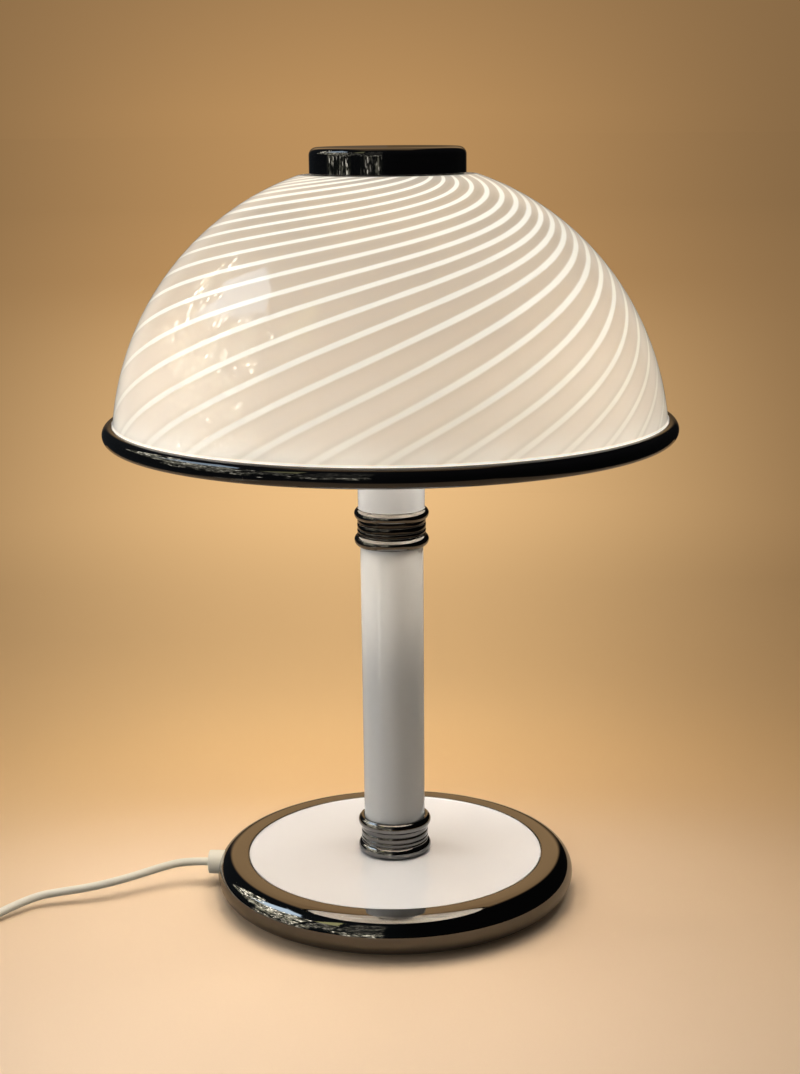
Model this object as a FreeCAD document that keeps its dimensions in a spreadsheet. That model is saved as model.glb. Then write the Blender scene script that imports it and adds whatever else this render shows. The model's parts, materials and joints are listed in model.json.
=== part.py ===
# Mushroom table lamp: swirl glass dome on a white column and a round weighted base.
# Millimetres, +Z up, origin on the table under the middle of the base.
# The cord leaves the base towards -X and lies at the lamp's left and front.
import FreeCAD, Part
import Sketcher
import math
import os
from FreeCAD import Placement, Rotation, Vector

# Driving sizes: name, millimetres (degrees for angles), what it is
SIZES = [
    ("felt_thickness", 1.4, "felt pad under the base"),
    ("felt_inset", 3.0, "felt edge inside the bottom plate's edge"),
    ("plate_thickness", 1.1, "steel bottom plate"),
    ("plate_overlap", 5.0, "bottom plate reaching under the base ring"),
    ("disc_radius", 95.0, "white enamelled disc"),
    ("disc_edge_round", 0.6, "rounding of the disc's edge"),
    ("disc_step", 0.5, "disc standing proud of the base ring"),
    ("disc_gap", 0.6, "dark line between disc and base ring"),
    ("ring_lip_width", 7.4, "flat top of the base ring"),
    ("ring_lip_thickness", 1.5, "metal of the base ring at its flat top"),
    ("ring_section", 12.5, "radius of the base ring's bullnose"),
    ("ring_wall", 1.5, "metal of the base ring at its foot"),
    ("ring_flange", 6.5, "base ring's inward flange at its foot"),
    ("ledge_width", 5.0, "base ring's ledge under the disc"),
    ("weight_gap", 0.6, "cast weight inside the base ring's ledge"),
    ("weight_pocket_length", 62.0, "wiring pocket in the weight, from its rim inwards"),
    ("weight_pocket_width", 30.0, "wiring pocket in the weight"),
    ("weight_roof", 7.0, "cast iron left over the wiring pocket"),
    ("recess_inner", 25.0, "inside of the ring-shaped recess under the weight"),
    ("recess_outer", 62.0, "outside of that recess"),
    ("recess_depth", 15.0, "depth of that recess"),
    ("channel_width", 12.0, "wire channel from the pocket to the middle"),
    ("nut_well_radius", 15.0, "well under the weight for the rod's nut"),
    ("nut_well_depth", 15.5, "depth of that well"),
    ("plate_screw_circle", 72.0, "radius of the circle of bottom screws"),
    ("plate_screw_radius", 2.0, "bottom screw shank"),
    ("plate_screw_length", 11.0, "bottom screw shank length"),
    ("plate_screw_head", 3.8, "bottom screw head radius"),
    ("plate_screw_head_height", 1.2, "bottom screw head, inside the felt"),
    ("thread_gap", 0.05, "radial clearance of a threaded or sliding fit"),
    ("slip_gap", 0.1, "radial clearance of a slipped fit"),
    ("loose_gap", 0.5, "radial clearance of a loose seat"),
    ("gland_radius", 7.7, "cord gland"),
    ("gland_reach", 7.7, "cord gland standing out of the base ring"),
    ("gland_thread_radius", 7.0, "gland's thread through the base ring"),
    ("gland_tail", 16.0, "gland's thread inside the base ring's outermost point"),
    ("gland_mouth", 0.8, "rounding of the gland's outer corner"),
    ("gland_nut_radius", 9.0, "gland nut across its corners"),
    ("gland_nut_height", 4.0, "gland nut"),
    ("gland_nut_seat", 3.0, "gland nut's bearing face outside the section's middle"),
    ("cord_radius", 2.6, "mains cord"),
    ("clamp_length", 8.0, "cord clamp along the cord"),
    ("clamp_width", 24.0, "cord clamp across the cord"),
    ("clamp_setback", 7.0, "cord clamp from the weight's rim"),
    ("clamp_depth", 7.5, "cord clamp under the cord's middle"),
    ("clamp_screw_radius", 1.5, "clamp screw shank"),
    ("clamp_screw_bite", 4.0, "clamp screw in the weight"),
    ("terminal_length", 16.0, "terminal block along the cord"),
    ("terminal_width", 16.0, "terminal block across the cord"),
    ("terminal_setback", 28.0, "terminal block from the weight's rim"),
    ("terminal_depth", 5.0, "terminal block under the cord's middle"),
    ("wire_radius", 1.0, "single insulated wire"),
    ("wire_spread", 3.0, "wires apart from the middle, in the base"),
    ("wire_rise_spread", 1.6, "wires apart from the middle, in the rod"),
    ("wire_low", 5.5, "height of the wires under the rod"),
    ("wire_bend", 3.6, "bend of the wires into the rod"),
    ("collar_height", 23.8, "ribbed collar"),
    ("collar_body_radius", 21.6, "collar between its beads"),
    ("collar_bead_radius", 23.5, "collar over its beads"),
    ("collar_bead_half", 3.3, "half the height of a bead"),
    ("collar_bead_inset", 3.5, "bead's middle from the collar's end"),
    ("collar_groove", 0.45, "depth of the collar's fine grooves"),
    ("collar_groove_half", 0.35, "half the width of a fine groove"),
    ("collar_web", 3.0, "web across the collar that the tube butts on"),
    ("spigot_height", 6.0, "upper collar's spigot inside the sleeve"),
    ("stem_radius", 20.0, "lower tube of the column"),
    ("stem_wall", 1.5, "wall of the lower tube"),
    ("stem_length", 180.0, "lower tube showing between the collars"),
    ("sleeve_radius", 21.4, "upper sleeve of the column"),
    ("sleeve_wall", 1.4, "wall of the upper sleeve"),
    ("sleeve_length", 36.4, "upper sleeve"),
    ("rod_radius", 5.0, "hollow tie rod"),
    ("rod_bore", 3.4, "bore of the tie rod"),
    ("rod_tail", 7.5, "tie rod below the well's roof"),
    ("rod_nut_radius", 9.2, "tie rod nut across its corners"),
    ("rod_nut_height", 4.5, "tie rod nut"),
    ("rod_washer_radius", 12.0, "tie rod washer"),
    ("rod_washer_thickness", 1.5, "tie rod washer"),
    ("hub_flange", 2.5, "hub's flange on the sleeve"),
    ("hub_radius", 15.0, "lampholder hub"),
    ("hub_height", 26.0, "lampholder hub over its flange"),
    ("hub_wall", 3.0, "wall of the hub"),
    ("hub_axis", 9.0, "arms' crossing point over the flange"),
    ("holder_tilt", 30.0, "lampholders up from the level, degrees"),
    ("arm_radius", 5.0, "lampholder arm"),
    ("arm_wall", 1.2, "wall of an arm"),
    ("arm_start", 13.0, "arm's inner end from the crossing point"),
    ("arm_end", 33.0, "arm's outer end from the crossing point"),
    ("holder_radius", 13.8, "lampholder shell"),
    ("holder_length", 34.0, "lampholder shell"),
    ("holder_wall", 1.4, "wall of a lampholder shell"),
    ("holder_floor", 2.4, "end wall of a lampholder shell"),
    ("insert_floor", 7.0, "porcelain behind the bulb"),
    ("insert_setback", 7.0, "porcelain inside the shell's mouth"),
    ("bulb_cap_radius", 6.9, "bulb cap"),
    ("bulb_cap_length", 18.0, "bulb cap"),
    ("bulb_radius", 22.5, "round bulb"),
    ("bulb_length", 57.0, "bulb glass over its cap"),
    ("bulb_neck_radius", 8.2, "bulb neck"),
    ("bulb_neck_length", 7.0, "straight part of the bulb neck"),
    ("branch_radius", 1.6, "twin wire in an arm"),
    ("branch_start", 5.0, "twin wire's inner end from the crossing point"),
    ("connector_length", 14.0, "connector block in the hub, along the arms"),
    ("connector_width", 10.0, "connector block across the arms"),
    ("connector_height", 13.0, "connector block"),
    ("wire_entry", 3.0, "wires reaching into the connector block"),
    ("post_radius", 4.0, "threaded post that carries the shade"),
    ("post_bite", 5.0, "post inside the hub's top"),
    ("post_nut_radius", 7.0, "post lock nut and carrier nut across corners"),
    ("post_nut_height", 4.0, "post lock nut and carrier nut"),
    ("post_rise", 10.7, "post over the glass's flat top"),
    ("shade_offset", 13.0, "glass edge over the sleeve's top"),
    ("dome_radius", 171.6, "dome ellipse, half its width"),
    ("dome_rise", 175.2, "dome ellipse, half its height"),
    ("dome_drop", 10.6, "dome ellipse's middle under the glass edge"),
    ("dome_flat", 8.8, "dome ellipse's top cut off by the glass's flat top"),
    ("glass_wall", 4.0, "glass wall"),
    ("glass_hole_radius", 24.0, "hole in the glass's flat top"),
    ("rim_section", 5.75, "radius of the rim ring's round section"),
    ("rim_shift", 0.2, "rim section's middle outside the groove"),
    ("rim_rise", 2.5, "rim section's middle over the glass edge"),
    ("rim_groove_gap", 0.15, "groove of the rim ring clear of the glass"),
    ("rim_inner_wall", 1.6, "inner lip of the rim ring"),
    ("rim_inner_rise", 6.0, "inner lip over the glass edge"),
    ("rim_seal_thickness", 1.0, "rubber strip under the glass edge"),
    ("carrier_radius", 44.0, "plate under the glass's flat top"),
    ("carrier_thickness", 2.5, "that plate"),
    ("carrier_gasket_thickness", 1.5, "cork ring on that plate"),
    ("cap_radius", 47.5, "black cap"),
    ("cap_height", 15.7, "black cap"),
    ("cap_wall", 1.5, "wall of the cap"),
    ("cap_round", 4.8, "rounding of the cap's top edge"),
    ("cap_gasket_thickness", 0.5, "washer under the cap"),
    ("cap_gasket_inset", 2.0, "washer inside the cap's edge"),
    ("cap_gasket_width", 8.0, "that washer's width"),
    ("boss_radius", 8.0, "threaded boss inside the cap"),
    ("boss_flange_radius", 14.0, "boss's flange under the cap's top"),
    ("boss_flange", 1.5, "that flange"),
    ("boss_clear", 1.0, "boss clear of the cap washer's level"),
    ("switch_length", 58.0, "cord switch"),
    ("switch_width", 24.0, "cord switch"),
    ("switch_end_width", 13.0, "cord switch at its ends"),
    ("switch_base_height", 9.5, "lower half of the cord switch"),
    ("switch_cover_height", 8.5, "upper half of the cord switch"),
    ("switch_wall", 2.0, "wall of the cord switch"),
    ("switch_axis", 6.5, "cord's middle in the switch, over the table"),
    ("switch_entry", 5.0, "cord reaching into the switch"),
    ("rocker_length", 21.0, "rocker"),
    ("rocker_width", 10.0, "rocker"),
    ("rocker_gap", 0.4, "rocker clear of its opening"),
    ("rocker_pivot", 15.4, "rocker's pivot over the table"),
    ("rocker_tilt", 7.0, "rocker's tilt each way, degrees"),
    ("rocker_depth", 4.5, "rocker under its pivot"),
    ("rocker_proud", 3.2, "rocker over its pivot at its middle"),
    ("rocker_dip", 1.0, "rocker's ends over its middle"),
    ("pin_radius", 1.2, "rocker's pivot stubs"),
    ("pin_reach", 2.0, "pivot stubs beyond the rocker"),
    ("ear_width", 2.4, "cover's ears that hold the stubs"),
    ("ear_length", 7.0, "cover's ears along the switch"),
    ("contact_thickness", 0.8, "switch contact strips"),
    ("contact_width", 5.0, "switch contact strips"),
    ("switch_screw_radius", 1.4, "switch screw shank"),
    ("switch_screw_place", 20.5, "switch screws from the switch's middle"),
    ("plug_width", 35.3, "two-pin plug"),
    ("plug_front_width", 26.0, "two-pin plug at its pin face"),
    ("plug_thickness", 13.7, "two-pin plug"),
    ("plug_length", 37.0, "two-pin plug without pins"),
    ("plug_corner", 9.0, "length of the plug's tapered shoulders"),
    ("relief_length", 20.0, "tapered relief behind the plug"),
    ("relief_radius", 4.6, "relief at the plug"),
    ("relief_tip", 3.3, "relief at the cord"),
    ("pin_size", 2.0, "radius of a plug pin"),
    ("pin_length", 19.0, "plug pin"),
    ("pin_spacing", 18.6, "plug pins apart"),
    ("coil_inner", 20.0, "cord's middle at the coil's inside"),
    ("coil_pitch", 5.8, "coil's loops and layers apart"),
    ("coil_turns", 3.5, "loops in each of the coil's two layers"),
    ("tie_thickness", 0.8, "tie round the coil"),
    ("tie_width", 7.0, "tie round the coil"),
    ("tie_gap", 0.4, "tie clear of the coil's cord"),
]

# Places on the table, measured from the gland's mouth: x is the distance out from it
SWITCH_MIDDLE = (144.8, -166.0)
COIL_MIDDLE_Y = -252.0
PLUG_RELIEF_TIP = (223.2, -208.0)

# The cord's route from the gland to the switch, as control points after the gland's mouth
LAMP_LEAD = [
    (15.5, 0.0, 15.0), (29.8, -7.5, 13.8), (43.8, -18.0, 12.3), (58.8, -27.5, 10.8),
    (74.3, -34.5, 9.4), (89.8, -38.8, 8.3), (103.8, -43.5, 7.2), (116.3, -57.0, 5.9),
    (127.3, -72.0, 4.4), (138.0, -89.0, 3.1), (144.8, -106.0, 3.3), (144.8, -124.0, 6.5),
    (144.8, -142.0, 6.5),
]
# From the switch down to the coil's lower layer
SWITCH_LEAD = [
    (144.8, -190.0, 6.5), (144.8, -203.0, 6.5), (144.8, -216.0, 5.4), (144.8, -229.0, 3.8),
    (144.8, -240.0, 3.5), (144.8, -246.8, 3.5),
]
# From the coil's upper layer to the plug's relief
PLUG_LEAD = [
    (225.4, -246.8, 9.3), (225.4, -239.5, 9.3), (224.4, -229.0, 8.3), (223.2, -218.0, 6.85),
    (223.2, -208.0, 6.85),
]

doc = FreeCAD.newDocument("mushroom_table_lamp")
sheet = doc.addObject("Spreadsheet::Sheet", "sizes")
nodes = {}


class Dim:
    """A length that knows its number and the sheet expression that gives it."""

    def __init__(self, value, text):
        self.value = float(value)
        self.text = text

    def __add__(self, other):
        other = as_dim(other)
        return Dim(self.value + other.value, "(%s + %s)" % (self.text, other.text))

    def __radd__(self, other):
        return as_dim(other) + self

    def __sub__(self, other):
        other = as_dim(other)
        return Dim(self.value - other.value, "(%s - %s)" % (self.text, other.text))

    def __rsub__(self, other):
        return as_dim(other) - self

    def __mul__(self, other):
        other = as_dim(other)
        return Dim(self.value * other.value, "(%s * %s)" % (self.text, other.text))

    def __rmul__(self, other):
        return as_dim(other) * self

    def __truediv__(self, other):
        other = as_dim(other)
        return Dim(self.value / other.value, "(%s / %s)" % (self.text, other.text))

    def __neg__(self):
        return Dim(-self.value, "(0 - %s)" % self.text)


def as_dim(number):
    return number if isinstance(number, Dim) else Dim(number, repr(float(number)))


def root(dim):
    return Dim(math.sqrt(dim.value), "sqrt(%s)" % dim.text)


class Sizes:
    """The sheet's sizes by name."""


size = Sizes()
for row, (alias, number, note) in enumerate(SIZES, 1):
    sheet.set("A%d" % row, note)
    sheet.set("B%d" % row, str(number))
    sheet.setAlias("B%d" % row, alias)
    setattr(size, alias, Dim(number, "sizes." + alias))
doc.recompute()


def bind(thing, prop, dim):
    """Sets a property's number and ties it to the sheet."""
    thing.setExpression(prop, as_dim(dim).text)


def move(thing, x=None, y=None, z=None):
    """Ties the piece's place to the sheet."""
    for axis, dim in (("x", x), ("y", y), ("z", z)):
        if dim is not None:
            bind(thing, "Placement.Base." + axis, dim)
    return thing


def turn(thing, axis, angle):
    """Turns the piece about an axis; the angle may be tied to the sheet."""
    thing.Placement = Placement(thing.Placement.Base, Rotation(Vector(*axis), as_dim(angle).value))
    if isinstance(angle, Dim):
        bind(thing, "Placement.Rotation.Angle", angle)
    return thing


def keep(name, thing):
    """Makes the thing a sub-part under that name."""
    thing.Label = name
    nodes[name] = thing
    return thing


def origin_plane(body, role):
    return [f for f in body.Origin.OriginFeatures if f.Role == role][0]


def pin_point(sketch, geometry, end, x, y):
    """Ties a point of the sketch to the sheet, or to an axis where it lies on one."""
    for kind, axis, dim in (("DistanceX", -2, as_dim(x)), ("DistanceY", -1, as_dim(y))):
        if dim.text == "0.0":
            sketch.addConstraint(Sketcher.Constraint("PointOnObject", geometry, end, axis))
        else:
            index = sketch.addConstraint(Sketcher.Constraint(kind, -1, 1, geometry, end, dim.value))
            sketch.setExpression("Constraints[%d]" % index, dim.text)


def draw(body, name, role, outline):
    """A closed sketch on one of the body's planes. Each corner is (x, y), or (x, y, via_x, via_y)
    where an arc through the via point arrives at it."""
    sketch = body.newObject("Sketcher::SketchObject", name + "_outline")
    sketch.AttachmentSupport = [(origin_plane(body, role), "")]
    sketch.MapMode = "FlatFace"
    points = [Vector(as_dim(c[0]).value, as_dim(c[1]).value, 0) for c in outline]
    ends = []
    for i, corner in enumerate(outline):
        start, stop = points[i - 1], points[i]
        if len(corner) == 2:
            geometry = sketch.addGeometry(Part.LineSegment(start, stop), False)
            ends.append((geometry, 1, 2))
            continue
        via = Vector(as_dim(corner[2]).value, as_dim(corner[3]).value, 0)
        if (via - start).cross(stop - start).z > 0:
            geometry = sketch.addGeometry(Part.Arc(start, via, stop), False)
            ends.append((geometry, 1, 2))
        else:
            geometry = sketch.addGeometry(Part.Arc(stop, via, start), False)
            ends.append((geometry, 2, 1))
        mark = sketch.addGeometry(Part.Point(via), True)
        pin_point(sketch, mark, 1, corner[2], corner[3])
        sketch.addConstraint(Sketcher.Constraint("PointOnObject", mark, 1, geometry))
    for i, corner in enumerate(outline):
        geometry, _, stop = ends[i]
        following, start, _ = ends[(i + 1) % len(outline)]
        sketch.addConstraint(Sketcher.Constraint("Coincident", geometry, stop, following, start))
        pin_point(sketch, geometry, stop, corner[0], corner[1])
    return sketch


def turned(name, outline):
    """A solid of revolution about Z from (radius, height) corners."""
    body = doc.addObject("PartDesign::Body", name)
    sketch = draw(body, name, "XZ_Plane", outline)
    spin = body.newObject("PartDesign::Revolution", name + "_turned")
    spin.Profile = sketch
    spin.ReferenceAxis = (sketch, ["V_Axis"])
    spin.Angle = 360.0
    return keep(name, body)


def padded(name, outline, thickness, role="XY_Plane", both_ways=False):
    """A straight pad of an outline."""
    body = doc.addObject("PartDesign::Body", name)
    pad = body.newObject("PartDesign::Pad", name + "_pad")
    pad.Profile = draw(body, name, role, outline)
    bind(pad, "Length", thickness)
    pad.Midplane = both_ways
    return keep(name, body)


def cylinder(name, radius, height, x=None, y=None, z=None):
    thing = doc.addObject("Part::Cylinder", name)
    bind(thing, "Radius", radius)
    bind(thing, "Height", height)
    return move(thing, x, y, z)


def box(name, length, width, height, x=None, y=None, z=None):
    """A box whose x and y are its middle and whose z is its foot."""
    thing = doc.addObject("Part::Box", name)
    bind(thing, "Length", length)
    bind(thing, "Width", width)
    bind(thing, "Height", height)
    x = as_dim(0.0) if x is None else as_dim(x)
    y = as_dim(0.0) if y is None else as_dim(y)
    return move(thing, x - as_dim(length) / 2, y - as_dim(width) / 2, z)


def cut(name, base, tools):
    """The base without its tools."""
    thing = doc.addObject("Part::Cut", name)
    thing.Base = base
    if len(tools) == 1:
        thing.Tool = tools[0]
        return thing
    joined = doc.addObject("Part::MultiFuse", name + "_tools")
    joined.Shapes = tools
    thing.Tool = joined
    return thing


def fuse(name, pieces):
    thing = doc.addObject("Part::MultiFuse", name)
    thing.Shapes = pieces
    return thing


def group(name, pieces):
    """Like fasteners as separate solids of one sub-part."""
    thing = doc.addObject("Part::Compound", name)
    thing.Links = pieces
    return keep(name, thing)


def ring(name, outer, inner, height, z):
    """A flat washer, turned."""
    return move(turned(name, [(inner, 0), (outer, 0), (outer, height), (inner, height)]), z=z)


def solid(name, shape):
    """A sub-part whose shape is made here, from the sheet's numbers."""
    thing = doc.addObject("Part::Feature", name)
    thing.Shape = shape
    return keep(name, thing)


def hexagon(name, corner_radius, bore, height, z, x=None, turned_by=None):
    """A hexagon nut, upright or turned about Y."""
    prism = doc.addObject("Part::Prism", name + "_prism")
    prism.Polygon = 6
    bind(prism, "Circumradius", corner_radius)
    bind(prism, "Height", height)
    hole = cylinder(name + "_bore", bore, height)
    nut = cut(name, prism, [hole])
    if turned_by:
        turn(nut, (0, 1, 0), turned_by)
    move(nut, x=x, z=z)
    return keep(name, nut)


def turn_angle(before, after):
    return before.getAngle(after)


def routed_wire(points, bend=None):
    """Straight runs joined by tangent arcs. Without a bend radius each arc is as large as its two
    runs allow: 0.45 of the shorter run over the tangent of half the turn."""
    points = [Vector(*p) for p in points]
    edges = []
    radii = []
    last = points[0]
    for before, corner, after in zip(points, points[1:], points[2:]):
        way_in = (corner - before).normalize()
        way_out = (after - corner).normalize()
        half = turn_angle(way_in, way_out) / 2
        shorter = min((corner - before).Length, (after - corner).Length)
        reach = 0.45 * shorter
        if bend is not None:
            reach = min(reach, bend * math.tan(half))
        radius = reach / math.tan(half)
        radii.append(radius)
        start = corner - way_in * reach
        stop = corner + way_out * reach
        inward = (way_out - way_in).normalize()
        middle = corner + inward * (radius / math.cos(half) - radius)
        edges.append(Part.LineSegment(last, start).toShape())
        edges.append(Part.Arc(start, middle, stop).toShape())
        last = stop
    edges.append(Part.LineSegment(last, points[-1]).toShape())
    return Part.Wire(edges), radii


def tube(name, points, radius, bend=None):
    """A round cord along a route, checked against its section times its length."""
    wire, radii = routed_wire(points, bend)
    start = Vector(*points[0])
    ahead = (Vector(*points[1]) - start).normalize()
    section = Part.Wire([Part.makeCircle(radius.value, start, ahead)])
    shape = wire.makePipeShell([section], True, False)
    expected = math.pi * radius.value ** 2 * wire.Length
    print("%s: length %.1f, least bend radius %.1f, volume off by %.3f %%" % (
        name, wire.Length, min(radii), 100 * (shape.Volume / expected - 1)))
    return solid(name, shape)


# Heights of the base's pieces over the table
ring_foot = size.felt_thickness + size.plate_thickness
ring_top = ring_foot + 2 * size.ring_section
ring_axis = ring_foot + size.ring_section
disc_top = ring_top + size.disc_step
disc_foot = ring_top - size.ring_lip_thickness
# Radii of the base
lip_radius = size.disc_radius + size.disc_gap
section_middle = lip_radius + size.ring_lip_width
base_radius = section_middle + size.ring_section
plate_radius = section_middle - size.ring_flange + size.plate_overlap
weight_radius = size.disc_radius - size.ledge_width - size.weight_gap
gland_mouth_x = -(base_radius + size.gland_reach)
# Heights of the column
lower_collar_top = disc_top + size.collar_height
upper_collar_foot = lower_collar_top + size.stem_length
upper_collar_top = upper_collar_foot + size.collar_height
sleeve_top = upper_collar_top + size.sleeve_length
flange_top = sleeve_top + size.hub_flange
hub_top = flange_top + size.hub_height
crossing = flange_top + size.hub_axis
# Heights of the shade
glass_edge = sleeve_top + size.shade_offset
dome_middle = glass_edge - size.dome_drop
glass_top = dome_middle + size.dome_rise - size.dome_flat
glass_under = glass_top - size.glass_wall
cap_foot = glass_top + size.cap_gasket_thickness
cap_top = cap_foot + size.cap_height
well_roof = ring_foot + size.nut_well_depth
pocket_roof = disc_foot - size.weight_roof


def from_mouth(distance):
    """A place on X that far out from the gland's mouth."""
    return gland_mouth_x - distance


def route(points):
    """A cord's control points in the lamp's own frame."""
    return [(from_mouth(x).value, y, z) for x, y, z in points]


def drilled(name, body, holes):
    """A turned piece with holes cut through it, kept under the same name."""
    body.Label = name + "_blank"
    return keep(name, cut(name + "_drilled", body, holes))


def round_the_screws(name, radius, height, z):
    """Four upright cylinders on the bottom screws' circle."""
    places = []
    for i in range(4):
        angle = math.radians(45 + 90 * i)
        places.append(cylinder("%s_%d" % (name, i + 1), radius, height,
                               size.plate_screw_circle * math.cos(angle),
                               size.plate_screw_circle * math.sin(angle), z))
    return places


def make_foot():
    felt_radius = plate_radius - size.felt_inset
    felt = cylinder("felt_blank", felt_radius, size.felt_thickness)
    wells = round_the_screws("felt_hole", size.plate_screw_head + size.loose_gap,
                             size.felt_thickness, 0)
    keep("felt_pad", cut("felt_cut", felt, wells))
    plate = cylinder("plate_blank", plate_radius, size.plate_thickness, z=size.felt_thickness)
    holes = round_the_screws("plate_hole", size.plate_screw_radius + size.thread_gap,
                             size.plate_thickness, size.felt_thickness)
    keep("bottom_plate", cut("plate_cut", plate, holes))
    heads = round_the_screws("screw_head", size.plate_screw_head, size.plate_screw_head_height,
                             size.felt_thickness - size.plate_screw_head_height)
    shanks = round_the_screws("screw_shank", size.plate_screw_radius, size.plate_screw_length,
                              size.felt_thickness)
    screws = [fuse("bottom_screw_%d" % (i + 1), [h, s]) for i, (h, s) in enumerate(zip(heads, shanks))]
    group("bottom_screws", screws)


def make_weight():
    blank = cylinder("weight_blank", weight_radius, disc_foot - ring_foot, z=ring_foot)
    pocket_height = pocket_roof - ring_foot
    pocket_end = size.weight_pocket_length - weight_radius
    pocket = box("weight_pocket", size.weight_pocket_length + size.disc_gap, size.weight_pocket_width,
                 pocket_height, x=pocket_end - (size.weight_pocket_length + size.disc_gap) / 2,
                 z=ring_foot)
    channel = box("weight_channel", -pocket_end + size.nut_well_radius / 2, size.channel_width,
                  pocket_height - size.clamp_depth / 2, x=(pocket_end - size.nut_well_radius / 2) / 2,
                  z=ring_foot)
    well = cylinder("weight_well", size.nut_well_radius, size.nut_well_depth, z=ring_foot)
    bore = cylinder("weight_bore", size.rod_radius + size.thread_gap, disc_foot - ring_foot, z=ring_foot)
    recess = move(turned("weight_recess", [
        (size.recess_inner, 0), (size.recess_outer, 0), (size.recess_outer, size.recess_depth),
        (size.recess_inner, size.recess_depth)]), z=ring_foot)
    del nodes["weight_recess"]
    taps = round_the_screws("weight_tap", size.plate_screw_radius + size.thread_gap,
                            size.plate_screw_length, ring_foot)
    clamp_taps = clamp_cylinders("weight_clamp_tap", size.clamp_screw_radius + size.thread_gap,
                                 size.clamp_screw_bite + size.loose_gap, pocket_roof)
    keep("base_weight", cut("weight_cut", blank, [pocket, channel, well, bore, recess] + taps + clamp_taps))


def clamp_place():
    return size.clamp_setback + size.clamp_length / 2 - weight_radius


def clamp_cylinders(name, radius, height, z):
    """Two upright cylinders at the cord clamp's screws."""
    side = size.clamp_width / 2 - size.clamp_length / 2
    return [cylinder("%s_%s" % (name, word), radius, height, clamp_place(), y, z)
            for word, y in (("near", -side), ("far", side))]


def make_base_ring():
    out = ring_top - ring_foot
    inner_roof = out - 2 * size.ring_lip_thickness
    inner_middle = (inner_roof + size.ring_wall) / 2
    inner_reach = (inner_roof - size.ring_wall) / 2
    ledge_radius = size.disc_radius - size.ledge_width
    flange_radius = section_middle - size.ring_flange
    outline = [
        (lip_radius, out),
        (section_middle, out),
        (section_middle, 0, base_radius, size.ring_section),
        (flange_radius, 0),
        (flange_radius, size.ring_wall),
        (section_middle, size.ring_wall),
        (section_middle, inner_roof, section_middle + inner_reach, inner_middle),
        (ledge_radius, inner_roof),
        (ledge_radius, inner_roof + size.ring_lip_thickness),
        (lip_radius, inner_roof + size.ring_lip_thickness),
    ]
    body = move(turned("base_ring", outline), z=ring_foot)
    hole = cylinder("gland_hole", size.gland_thread_radius + size.thread_gap, size.ring_section)
    along_x(hole, -section_middle)
    drilled("base_ring", body, [hole])


def make_disc():
    thick = disc_top - disc_foot
    edge = size.disc_edge_round
    corner = edge * (1 - math.sqrt(0.5))
    bore = size.rod_radius + size.thread_gap
    radius = size.disc_radius
    outline = [
        (bore, 0),
        (radius - edge, 0),
        (radius, edge, radius - corner, corner),
        (radius, thick - edge),
        (radius - edge, thick, radius - corner, thick - corner),
        (bore, thick),
    ]
    move(turned("base_disc", outline), z=disc_foot)


def along_x(thing, x):
    """Lays a piece turned about Z down along -X, with its foot at x."""
    turn(thing, (0, 1, 0), -90)
    return move(thing, x=x, z=ring_axis)


def make_gland():
    """A plastic gland: its head is hollowed to the bullnose, its thread passes through the ring."""
    head_length = size.ring_section + size.gland_reach
    mouth = size.gland_mouth
    corner = mouth * (1 - math.sqrt(0.5))
    radius = size.gland_radius
    blank = along_x(turned("gland_head", [
        (0, 0), (radius, 0), (radius, head_length - mouth),
        (radius - mouth, head_length, radius - corner, head_length - corner), (0, head_length),
    ]), -section_middle)
    del nodes["gland_head"]
    bullnose = doc.addObject("Part::Torus", "gland_bullnose")
    bind(bullnose, "Radius1", section_middle)
    bind(bullnose, "Radius2", size.ring_section + size.thread_gap)
    move(bullnose, z=ring_axis)
    head = cut("gland_head_cut", blank, [bullnose])
    thread = along_x(cylinder("gland_thread", size.gland_thread_radius, size.gland_tail + mouth),
                     size.gland_tail - base_radius)
    bore = along_x(cylinder("gland_bore", size.cord_radius + size.slip_gap,
                            size.gland_tail + size.gland_reach), size.gland_tail - base_radius)
    keep("cord_gland", cut("gland_cut", fuse("gland_whole", [head, thread]), [bore]))
    hexagon("gland_nut", size.gland_nut_radius, size.gland_thread_radius + size.thread_gap,
            size.gland_nut_height, ring_axis,
            x=size.gland_nut_height - section_middle - size.gland_nut_seat, turned_by=-90)


def make_inner_cord():
    end = weight_radius - size.terminal_setback
    start = -gland_mouth_x
    along_x(turned("inner_cord", [(0, 0), (size.cord_radius, 0), (size.cord_radius, start - end),
                                  (0, start - end)]), -end)
    block = box("clamp_blank", size.clamp_length, size.clamp_width,
                pocket_roof - ring_axis + size.clamp_depth, x=clamp_place(),
                z=ring_axis - size.clamp_depth)
    groove = cylinder("clamp_groove", size.cord_radius + size.thread_gap, size.clamp_length)
    turn(groove, (0, 1, 0), 90)
    move(groove, x=clamp_place() - size.clamp_length / 2, z=ring_axis)
    holes = clamp_cylinders("clamp_hole", size.clamp_screw_radius + size.thread_gap,
                            pocket_roof - ring_axis + size.clamp_depth, ring_axis - size.clamp_depth)
    keep("cord_clamp", cut("clamp_cut", block, [groove] + holes))
    head = size.clamp_screw_radius
    heads = clamp_cylinders("clamp_head", 2 * size.clamp_screw_radius, head,
                            ring_axis - size.clamp_depth - head)
    shanks = clamp_cylinders("clamp_shank", size.clamp_screw_radius,
                             pocket_roof - ring_axis + size.clamp_depth + size.clamp_screw_bite,
                             ring_axis - size.clamp_depth)
    group("clamp_screws", [fuse("clamp_screw_%d" % i, pair) for i, pair in enumerate(zip(heads, shanks), 1)])
    keep("terminal_block", box("terminal_blank", size.terminal_length, size.terminal_width,
                               pocket_roof - ring_axis + size.terminal_depth,
                               x=-end + size.terminal_length / 2, z=ring_axis - size.terminal_depth))


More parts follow.
